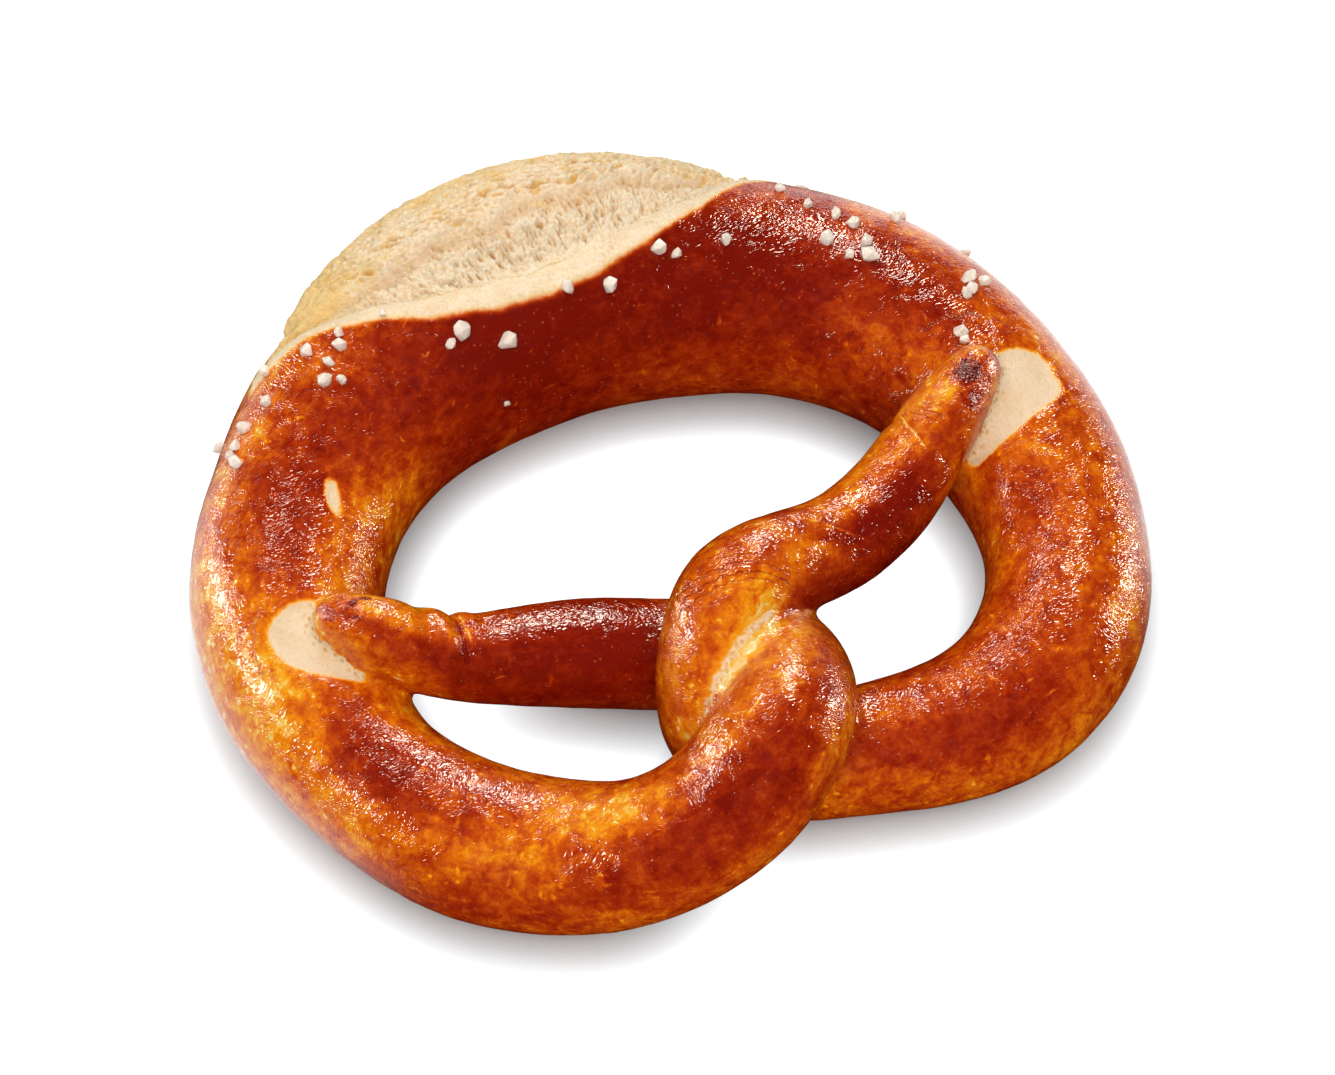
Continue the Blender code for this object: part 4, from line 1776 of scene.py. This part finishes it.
@dataclass(frozen=True)
class CrustFinish:
    """Glossy lye crust: mottled red-brown, golden where sheltered, cream where torn."""

    stops: tuple[tuple[float, Triple], ...] = (
        (0.00, (0.95, 0.67, 0.28)),
        (0.06, (0.94, 0.55, 0.09)),
        (0.13, (0.94, 0.41, 0.012)),
        (0.22, (0.89, 0.275, 0.005)),
        (0.30, (0.81, 0.192, 0.003)),
        (0.45, (0.63, 0.092, 0.0025)),
        (0.60, (0.45, 0.039, 0.0018)),
        (0.75, (0.32, 0.0165, 0.0012)),
        (0.90, (0.21, 0.0060, 0.0010)),
        (1.00, (0.09, 0.0035, 0.0012)),
    )
    creases: tuple[FineCrease, ...] = (
        FineCrease("wrap_first", 493.6, 0.73, 0.22, (-7.0, 7.0), 0.1, 0.45),
        FineCrease("wrap_second", 495.0, 0.73, 0.26, (-9.0, 6.0), 0.15, 0.6),
        FineCrease("wrap_third", 496.7, 0.73, 0.22, (-6.0, 8.0), 0.1, 0.45),
        FineCrease("wrap_fourth", 498.4, 0.7, 0.18, (-4.0, 4.0), 0.05, 0.3),
        FineCrease("left_fold", 18.1, 0.17, 0.5, (-5.0, 5.0), 0.3, 0.5),
        FineCrease("left_fold_edge", 19.2, 0.17, 0.4, (-2.0, 5.0), -0.3, 0.0),
        FineCrease("right_neck_edge", 539.2, -0.45, 0.4, (-2.0, 5.5), -0.3, 0.4),
        FineCrease("right_arm_edge", 511.2, 1.0, 0.6, (-5.0, -0.5), -0.25, 0.2),
        FineCrease("right_pleat_first", 543.2, 0.12, 0.22, (-1.5, 4.0), 0.1, 0.5),
        FineCrease("right_pleat_second", 544.4, 0.12, 0.2, (-2.0, 3.5), 0.1, 0.5),
        FineCrease("right_pleat_third", 545.5, 0.15, 0.22, (-1.0, 3.5), 0.1, 0.5),
        FineCrease("right_pleat_fourth", 546.9, 0.15, 0.2, (-1.0, 3.0), 0.05, 0.4),
    )
    lip_edge: float = 0.10
    lip_ragged: float = 0.9
    torn_ragged: float = 0.8
    seam_ragged: float = 1.8
    speck_share: float = 0.45
    streak_gold: float = 0.34
    fleck_mm: float = 1.7
    blister_mm: float = 0.9
    wrinkle_mm: float = 0.56
    wrinkle_bend: float = 3.0
    darkest: float = 0.9
    burnt: float = 0.96
    speck: Triple = (0.62, 0.17, 0.06)
    roughness: float = 0.08
    dough_roughness: float = 0.7
    dough_grain: float = 0.35
    dough_relief: float = 1.2
    scab_relief: float = 3.0
    relief_mm: float = 0.27

    def material(self) -> bpy.types.Material:
        """Builds the crust's material.

        Returns:
            The material.
        """
        made, bench, surface = new_material("lye_crust")
        place = bench.places()
        flow = bench.kept(Mark.FLOW, "Vector")
        ragged = bench.math("SUBTRACT", bench.grain(place, 1.6, 3.0, 0.6), 0.5)
        lip = bench.math("MULTIPLY_ADD", ragged, self.lip_ragged, bench.kept(Mark.LIP))
        torn = bench.math("MULTIPLY_ADD", ragged, self.torn_ragged, bench.kept(Mark.TORN))
        seam = bench.math("MULTIPLY_ADD", ragged, self.seam_ragged, bench.kept(Mark.SEAM))
        bare = bench.math("MAXIMUM", bench.between(lip, -0.8, 0.5), bench.between(torn, -0.3, 0.3))
        bare = bench.math("MAXIMUM", bare, bench.between(seam, 0.4, -0.3, 0.0, 0.8))
        rim = bench.math("MAXIMUM", bench.between(lip, -1.5, 0.1), bench.between(torn, -0.7, 0.0))
        rim = bench.math("MAXIMUM", rim, bench.between(seam, 1.9, 0.1, 0.0, 0.65))
        crease_shade, sunk = self.drawn_creases(bench, place, flow)
        tone = self.browning(bench, place, flow, crease_shade, rim)
        crust = bench.ramp(tone, self.stops)
        dot = self.blisters(bench, place)
        crust = bench.mix(bench.math("MULTIPLY", dot, self.speck_share), crust, (*self.speck, 1))
        # Painted shade: in the seam's pits, in the torn dough's pits, and a little over each whole
        # torn patch.
        hollow = self.stretched_cells(bench, flow, seam)
        hollow = bench.math("MAXIMUM", hollow, self.torn_fibres(bench, place, flow))
        toast = bench.between(lip, 0.0, 2.2, 0.55, 0.05)
        toast = bench.math("MULTIPLY", toast, bench.between(lip, -1.5, -0.8))
        toast = bench.math("MAXIMUM", toast, bench.between(torn, 0.7, 0.1, 0.0, 0.4))
        hollow = bench.math("MAXIMUM", hollow, bench.between(torn, -0.3, 0.3, 0.0, 0.26))
        values = {"Place": place, "Grain": self.dough_grain, "Hollow": hollow, "Toast": toast}
        dough = place_group(bench, BareDough().group(), values)
        colour = bench.mix(bare, crust, dough["Colour"])
        bench.feed(surface.inputs["Base Color"], colour)
        sheen = bench.grain(place, 2.2, 2.0)
        gloss = bench.between(sheen, 0.3, 0.7, self.roughness - 0.02, self.roughness + 0.05)
        bench.feed(surface.inputs["Roughness"], bench.blend(bare, gloss, self.dough_roughness))
        height = bench.math("SUBTRACT", self.wrinkles(bench, place, flow), sunk)
        scab = bench.math("MULTIPLY", bench.kept(Mark.BURNT), bench.grain(place, 1.1, 3.0, 0.6))
        height = bench.math("MULTIPLY_ADD", scab, self.scab_relief, height)
        dough_height = bench.math("MULTIPLY", dough["Height"], self.dough_relief)
        height = bench.blend(bare, height, dough_height)
        bench.feed(surface.inputs["Normal"], bench.bump(height, self.relief_mm))
        return made

    def stretched_cells(self, bench: Bench, flow: Socket, seam: Socket) -> Socket:
        """Painted shade in small pits drawn out across the seam of the twist.

        Args:
            bench: the material's bench.
            flow: mm along and round the rope.
            seam: mm from the seam's edge, minus inside it.

        Returns:
            A mask that is 1 where a pit's shade is painted.
        """
        off, _ = bench.cells(bench.stretched(flow, (0.8, 0.5, 0.3)), 0.62)
        deep = bench.between(off, 0.52, 0.26)
        return bench.math("MULTIPLY", deep, bench.between(seam, 0.5, -0.1, 0.0, 0.8))

    def torn_fibres(self, bench: Bench, place: Socket, flow: Socket) -> Socket:
        """Painted shade in pits and pulled fibres of bare dough, most of them close beside another
        strand.

        Args:
            bench: the material's bench.
            place: the point's place in mm.
            flow: mm along and round the rope, and off the other strand.

        Returns:
            A mask that is 1 where a pit's shade is painted.
        """
        close = bench.between(bench.parts(flow)["Z"], 2.6, 0.6)
        off, _ = bench.cells(bench.stretched(place, (1.0, 0.6, 1.0)), 0.8)
        pits = bench.between(off, 0.6, 0.2)
        some = bench.between(bench.grain(place, 3.4, 2.0), 0.52, 0.66, 0.0, 0.4)
        return bench.math("MULTIPLY", pits, bench.math("MAXIMUM", close, some))

    def drawn_creases(self, bench: Bench, place: Socket, flow: Socket) -> tuple[Socket, Socket]:
        """The fine creases' painted shade and depth.

        Args:
            bench: the material's bench.
            place: the point's place in mm.
            flow: mm along and round the rope.

        Returns:
            The painted shade that they add to the browning, and how deep they are.
        """
        parts = bench.parts(flow)
        wobble = bench.math("SUBTRACT", bench.grain(place, 2.5, 2.0), 0.5)
        along = bench.math("MULTIPLY_ADD", wobble, 0.9, parts["X"])
        crease_shade, sunk = 0.0, 0.0
        for start in range(0, len(self.creases), 3):
            three = self.creases[start : start + 3]
            slope, at, half_width, depth, tint = np.array(
                [(one.slope, one.along, one.half_width, one.depth, one.crease_shade) for one in three]
            ).T
            first, last = np.array([one.round_mm for one in three]).T
            line = bench.vector_math("MULTIPLY_ADD", parts["Y"], slope, along)
            off = bench.vector_math("ABSOLUTE", bench.vector_math("SUBTRACT", line, at))
            drawn = bench.between_each(off, half_width, 0.2 * half_width)
            aside = bench.vector_math("SUBTRACT", parts["Y"], 0.5 * (first + last))
            reach = 0.5 * (last - first)
            kept = bench.between_each(bench.vector_math("ABSOLUTE", aside), reach + 1.0, reach - 1.0)
            drawn = bench.vector_math("MULTIPLY", drawn, kept)
            crease_shade = bench.math("ADD", bench.weighed(drawn, tint), crease_shade)
            sunk = bench.math("ADD", bench.weighed(drawn, depth), sunk)
        return crease_shade, sunk

    def browning(
        self, bench: Bench, place: Socket, flow: Socket, crease_shade: Socket, rim: Socket
    ) -> Socket:
        """How brown the crust is, with its mottling.

        Args:
            bench: the material's bench.
            place: the point's place in mm.
            flow: mm along and round the rope.
            crease_shade: the painted shade that the creases add.
            rim: 1 at the edge of bare dough.

        Returns:
            A value from 0, bare, to 1, burnt.
        """
        tone = bench.kept(Mark.BROWNING)
        layers = (
            (bench.grain(place, 7.0, 4.0, 0.55, 0.9), 0.72),
            (bench.grain(place, 2.4, 2.0, 0.5, 0.9), 0.60),
            (bench.grain(bench.stretched(flow, (0.45, 1.0, 0.2)), 1.3, 1.0), 0.30),
            (bench.grain(place, 0.5, 1.0), 0.26),
        )
        mottling = bench.between(tone, 0.45, 0.9, 1.0, 0.65)
        for layer, amount in layers:
            change = bench.math("MULTIPLY", bench.math("SUBTRACT", layer, 0.5), amount)
            tone = bench.math("MULTIPLY_ADD", change, mottling, tone)
        golden = bench.math("MULTIPLY", self.streaks(bench, flow), self.streak_gold)
        tone = bench.math("SUBTRACT", tone, golden)
        tone = bench.math("SUBTRACT", tone, self.pale_flecks(bench, place, tone))
        # Painted shade along the fine creases darkens the tone; below zero it lightens a fold's edge.
        tone = bench.math("ADD", tone, crease_shade)
        tone = bench.math("MINIMUM", tone, self.darkest)
        ragged = bench.math("SUBTRACT", bench.grain(place, 1.5, 3.0, 0.6, 1.2), 0.5)
        burnt = bench.math("MULTIPLY_ADD", ragged, 1.1, bench.kept(Mark.BURNT))
        tone = bench.blend(bench.between(burnt, 0.25, 0.75), tone, self.burnt)
        return bench.blend(rim, tone, self.lip_edge)

    def streaks(self, bench: Bench, flow: Socket) -> Socket:
        """Short golden threads where the skin stretched, along the rope and across it.

        Args:
            bench: the material's bench.
            flow: mm along and round the rope.

        Returns:
            A mask that is 1 on a thread.
        """
        bent = bench.vector_math("ADD", flow, bench.drift(flow, 2.4, 2.2))
        threads = []
        for stretch, size in (((0.22, 1.0, 0.2), 1.1), ((0.7, 0.32, 0.2), 1.2)):
            off, lots = bench.cells(bench.stretched(bent, stretch), size)
            some = bench.between(bench.parts(lots)["Y"], 0.55, 0.95)
            thin = bench.between(off, 0.30, 0.08)
            where = bench.between(bench.grain(flow, 6.0 * size, 2.0), 0.42, 0.62)
            threads.append(bench.math("MULTIPLY", bench.math("MULTIPLY", thin, some), where))
        return bench.math("MAXIMUM", *threads)

    def pale_flecks(self, bench: Bench, place: Socket, tone: Socket) -> Socket:
        """Small pale yellow flecks, most of them where the crust is golden.

        Args:
            bench: the material's bench.
            place: the point's place in mm.
            tone: how brown the crust is.

        Returns:
            How much lighter a fleck is than the crust about it.
        """
        bent = bench.vector_math("ADD", place, bench.drift(place, 1.0, 1.1))
        off, lots = bench.cells(bent, self.fleck_mm)
        some = bench.between(bench.parts(lots)["X"], 0.5, 1.0, 0.0, 0.28)
        spot = bench.math("MULTIPLY", bench.between(off, 0.34, 0.1), some)
        return bench.math("MULTIPLY", spot, bench.between(tone, 0.7, 0.35, 0.15, 1.0))

    def blisters(self, bench: Bench, place: Socket) -> Socket:
        """Tiny pale blisters in the crust.

        Args:
            bench: the material's bench.
            place: the point's place in mm.

        Returns:
            A mask that is 1 on a blister.
        """
        off, lots = bench.cells(place, self.blister_mm)
        parts = bench.parts(lots)
        some = bench.between(parts["X"], 0.35, 1.0)
        reach = bench.math("MULTIPLY_ADD", parts["Y"], 0.22, 0.14)
        near = bench.math("DIVIDE", off, reach)
        return bench.math("MULTIPLY", bench.between(near, 1.0, 0.3), some)

    def wrinkles(self, bench: Bench, place: Socket, flow: Socket) -> Socket:
        """The skin's fine wrinkles, side by side in most places and across the rope in others.

        Args:
            bench: the material's bench.
            place: the point's place in mm.
            flow: mm along and round the rope.

        Returns:
            A height from 0 to 1.
        """
        drift = bench.scaled(bench.grain(place, 4.0, 1.0), self.wrinkle_bend)
        even = bench.stretched(bench.vector_math("ADD", place, drift), (0.34, 1.0, 1.0))
        across = bench.stretched(bench.vector_math("ADD", flow, drift), (1.0, 0.34, 0.3))
        turned = bench.between(bench.grain(place, 12.0, 2.0), 0.60, 0.66)
        wrinkled = [bench.grain(way, self.wrinkle_mm, 1.0) for way in (even, across)]
        fine = bench.blend(turned, *wrinkled)
        domes = bench.math("ABSOLUTE", bench.math("SUBTRACT", fine, 0.5))
        return bench.math("MULTIPLY_ADD", bench.grain(place, 1.3, 1.0), 0.3, domes)


@dataclass(frozen=True)
class CrumbFinish:
    """Dry torn crumb: cream, with painted shade in its pores, gaps and under its ledge, toasted on
    what stood out.
    """

    grain: float = 0.65
    roughness: float = 0.5
    gloss: float = 0.4
    glow: float = 0.3
    glow_reach: Triple = (1.0, 0.65, 0.35)
    glow_mm: float = 1.2
    relief_mm: float = 0.35

    def material(self) -> bpy.types.Material:
        """Builds the crumb's material.

        Returns:
            The material.
        """
        made, bench, surface = new_material("torn_crumb")
        values = {
            "Place": bench.places(),
            "Grain": self.grain,
            "Hollow": bench.kept(Mark.PAINTED_SHADE),
            "Toast": bench.kept(Mark.TOAST),
        }
        dough = place_group(bench, BareDough().group(), values)
        bench.feed(surface.inputs["Base Color"], dough["Colour"])
        surface.inputs["Roughness"].default_value = self.roughness
        surface.inputs["Specular IOR Level"].default_value = self.gloss
        let_light_in(surface, self.glow, self.glow_reach, self.glow_mm)
        bench.feed(surface.inputs["Normal"], bench.bump(dough["Height"], self.relief_mm))
        return made


@dataclass(frozen=True)
class SaltFinish:
    """Cloudy white salt that lets a little light through."""

    clear: Triple = (0.93, 0.87, 0.81)
    cloudy: Triple = (0.84, 0.70, 0.57)
    roughness: float = 0.35
    glow: float = 0.35
    glow_reach: Triple = (1.0, 0.8, 0.6)
    glow_mm: float = 1.0
    relief_mm: float = 0.12

    def material(self) -> bpy.types.Material:
        """Builds the salt's material.

        Returns:
            The material.
        """
        made, bench, surface = new_material("coarse_salt")
        place = bench.places()
        cloud = bench.grain(place, 1.2, 3.0, 0.6)
        share = bench.math("MULTIPLY_ADD", bench.kept(Mark.TINT), 0.5, bench.between(cloud, 0.4, 0.7))
        share = bench.math("MULTIPLY", share, 0.6, clamp=True)
        colour = bench.mix(share, (*self.clear, 1), (*self.cloudy, 1))
        bench.feed(surface.inputs["Base Color"], colour)
        surface.inputs["Roughness"].default_value = self.roughness
        let_light_in(surface, self.glow, self.glow_reach, self.glow_mm)
        worn = bench.bump(bench.grain(place, 0.6, 2.0), self.relief_mm)
        bench.feed(surface.inputs["Normal"], worn)
        return made


@dataclass(frozen=True)
class FloorFinish:
    """Plain white studio floor: a painted glow that the camera sees, darkened near the pretzel as a
    painted contact shadow, and a painted glow at its sides that only the gloss sees.
    """

    colour: Triple = (0.84, 0.86, 0.88)
    seen_colour: Triple = (0.52, 0.55, 0.57)
    painted_glow: Triple = (0.84, 0.88, 0.91)
    painted_shadow_reach: float = 8.0
    painted_shadow_rays: int = 3
    painted_shadow_fall: float = 1.8
    painted_reflection_glow: float = 1.6
    roughness: float = 0.9
    gloss: float = 0.1
    aside_mm: Pair = (58.0, 84.0)
    back_mm: Pair = (-56.0, -26.0)

    def material(self) -> bpy.types.Material:
        """Builds the floor's material.

        Returns:
            The material.
        """
        made, bench, surface = new_material("studio_floor")
        path = bench.node("ShaderNodeLightPath")
        seen, mirrored = path.outputs["Is Camera Ray"], path.outputs["Is Glossy Ray"]
        black = (0.0, 0.0, 0.0, 1.0)
        # The floor's own colour is black in the gloss and darker to the camera, so the painted glow
        # sets how bright it looks.
        colour = bench.mix(mirrored, (*self.colour, 1), black)
        colour = bench.mix(seen, colour, (*self.seen_colour, 1))
        bench.feed(surface.inputs["Base Color"], colour)
        surface.inputs["Roughness"].default_value = self.roughness
        surface.inputs["Specular IOR Level"].default_value = self.gloss
        surface.inputs["Emission Strength"].default_value = 1.0
        # Painted reflection: a bright glow seen only in the gloss, left and right of the pretzel and
        # not in front.
        parts = bench.parts(bench.places())
        aside = bench.between(bench.math("ABSOLUTE", parts["X"]), *self.aside_mm)
        back = bench.between(parts["Y"], *self.back_mm)
        glow = bench.math("MULTIPLY", bench.math("MULTIPLY", aside, back), mirrored)
        # Painted contact shadow: the glow that the camera sees fades where ambient occlusion finds the
        # pretzel near.
        painted_shadow = bench.node("ShaderNodeAmbientOcclusion", samples=self.painted_shadow_rays)
        painted_shadow.inputs["Distance"].default_value = self.painted_shadow_reach * MM
        clear_of_painted_shadow = bench.math("POWER", painted_shadow.outputs["AO"], self.painted_shadow_fall)
        painted_glow_seen = bench.mix(bench.math("MULTIPLY", clear_of_painted_shadow, seen), black, (*self.painted_glow, 1))
        painted_glow_seen = bench.mix(glow, painted_glow_seen, (self.painted_reflection_glow, self.painted_reflection_glow, self.painted_reflection_glow, 1.0))
        bench.feed(surface.inputs["Emission Color"], painted_glow_seen)
        made.cycles.emission_sampling = "NONE"
        return made


@dataclass(frozen=True)
class Lamp:
    """A soft area lamp: where it hangs as seen from the pretzel, its size, power and roll."""

    name: str
    glow: Glow
    azimuth: float
    elevation: float
    distance: float
    width: float
    height: float
    watts: float
    roll: float = 0.0


@dataclass
class Studio:
    """Floor, soft lamps and the camera at the angle of the picture."""

    azimuth: float = -25.0
    elevation: float = 57.0
    distance: float = 0.70
    lens: float = 114.8
    aim: Triple = (4.2, 3.0, 0.8)
    floor_half: float = 3.0
    floor_drop_mm: float = 0.1
    surround: float = 0.03
    sheen_colour: Triple = (1.0, 0.88, 0.74)
    fill_colour: Triple = (1.0, 0.95, 0.88)
    lamps: tuple[Lamp, ...] = (
        Lamp("back_right", Glow.SHEEN, 145.0, 36.0, 0.9, 0.13, 0.46, 6.2, 20.0),
        Lamp("back_high", Glow.SHEEN, 179.0, 47.0, 0.9, 0.18, 0.15, 2.1),
        Lamp("left_high", Glow.SHEEN, -112.0, 34.0, 0.9, 0.20, 0.15, 4.2, 35.0),
        Lamp("left_low", Glow.SHEEN, -135.0, 12.0, 0.9, 0.12, 0.42, 4.8, -38.0),
        Lamp("right_low", Glow.SHEEN, 84.0, 10.0, 0.9, 0.16, 0.34, 6.2),
        Lamp("over_camera", Glow.FILL, -25.0, 45.0, 1.2, 1.2, 1.0, 8.0),
        Lamp("overhead", Glow.FILL, 90.0, 88.0, 1.2, 1.6, 1.6, 10.5),
        Lamp("behind", Glow.FILL, 175.0, 42.0, 1.2, 1.8, 0.8, 8.0),
    )

    def direction(self, azimuth: float, elevation: float) -> Vector:
        """The way from the pretzel to a viewer, whose azimuth is 0 in front and grows towards +X."""
        turn, rise = math.radians(azimuth), math.radians(elevation)
        flat = math.cos(rise)
        return Vector((math.sin(turn) * flat, -math.cos(turn) * flat, math.sin(rise)))

    def floor(self) -> bpy.types.Object:
        """Lays the plain floor.

        Returns:
            The floor.
        """
        half = self.floor_half
        corners = [(-half, -half, 0), (half, -half, 0), (half, half, 0), (-half, half, 0)]
        mesh = bpy.data.meshes.new("studio_floor")
        mesh.from_pydata(corners, [], [(0, 1, 2, 3)])
        mesh.materials.append(FloorFinish().material())
        floor = bpy.data.objects.new("studio_floor", mesh)
        floor.location.z = -self.floor_drop_mm * MM
        bpy.context.scene.collection.objects.link(floor)
        return floor

    def light(self) -> None:
        """Hangs the lamps and sets the even light around."""
        for lamp in self.lamps:
            data = bpy.data.lights.new(lamp.name, "AREA")
            data.shape = "RECTANGLE"
            data.size = lamp.width
            data.size_y = lamp.height
            data.energy = lamp.watts
            sheen = lamp.glow is Glow.SHEEN
            data.color = self.sheen_colour if sheen else self.fill_colour
            hung = bpy.data.objects.new(lamp.name, data)
            way = self.direction(lamp.azimuth, lamp.elevation)
            hung.location = way * lamp.distance
            turned = Quaternion((0.0, 0.0, 1.0), math.radians(lamp.roll))
            hung.rotation_euler = (way.to_track_quat("Z", "Y") @ turned).to_euler()
            hung.visible_glossy = sheen
            hung.visible_diffuse = not sheen
            bpy.context.scene.collection.objects.link(hung)
        world = bpy.data.worlds.new("soft_surround")
        world.use_nodes = True
        around = world.node_tree.nodes["Background"]
        around.inputs["Color"].default_value = (1.0, 1.0, 1.0, 1.0)
        around.inputs["Strength"].default_value = self.surround
        bpy.context.scene.world = world
        bpy.context.scene.view_settings.view_transform = "Standard"

    def camera(self) -> None:
        """Sets the camera up."""
        data = bpy.data.cameras.new("camera")
        data.lens = self.lens
        data.sensor_width = 36.0
        data.clip_start = 0.01
        camera = bpy.data.objects.new("camera", data)
        way = self.direction(self.azimuth, self.elevation)
        camera.location = Vector(self.aim) * MM + way * self.distance
        camera.rotation_euler = way.to_track_quat("Z", "Y").to_euler()
        bpy.context.scene.collection.objects.link(camera)
        bpy.context.scene.camera = camera


def settle(piece: bpy.types.Object, material: bpy.types.Material) -> None:
    """Gives a piece its finish and its place in the frame.

    Args:
        piece: the piece.
        material: its material.
    """
    piece.data.materials.clear()
    piece.data.materials.append(material)
    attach(piece, BODY)
    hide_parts(NODE)
    log.info("%s: %d faces", piece.name, len(piece.data.polygons))


def main() -> None:
    """Builds the pretzel's pieces in order, then the studio."""
    logging.basicConfig(level=logging.INFO, format="%(name)s %(message)s")
    rope = DoughRope()
    burst = Burst()
    skin, crumb, salt = BakedSkin(rope, burst), TornCrumb(rope, burst), CoarseSalt(rope)
    baked_crust = skin.build()
    torn_crumb = crumb.build()
    coarse_salt = salt.build(baked_crust, torn_crumb)
    skin.dress(baked_crust)
    crumb.dress(torn_crumb)
    salt.dress(coarse_salt)
    studio = Studio()
    studio.floor()
    studio.light()
    studio.camera()


if __name__ == "__main__":
    main()
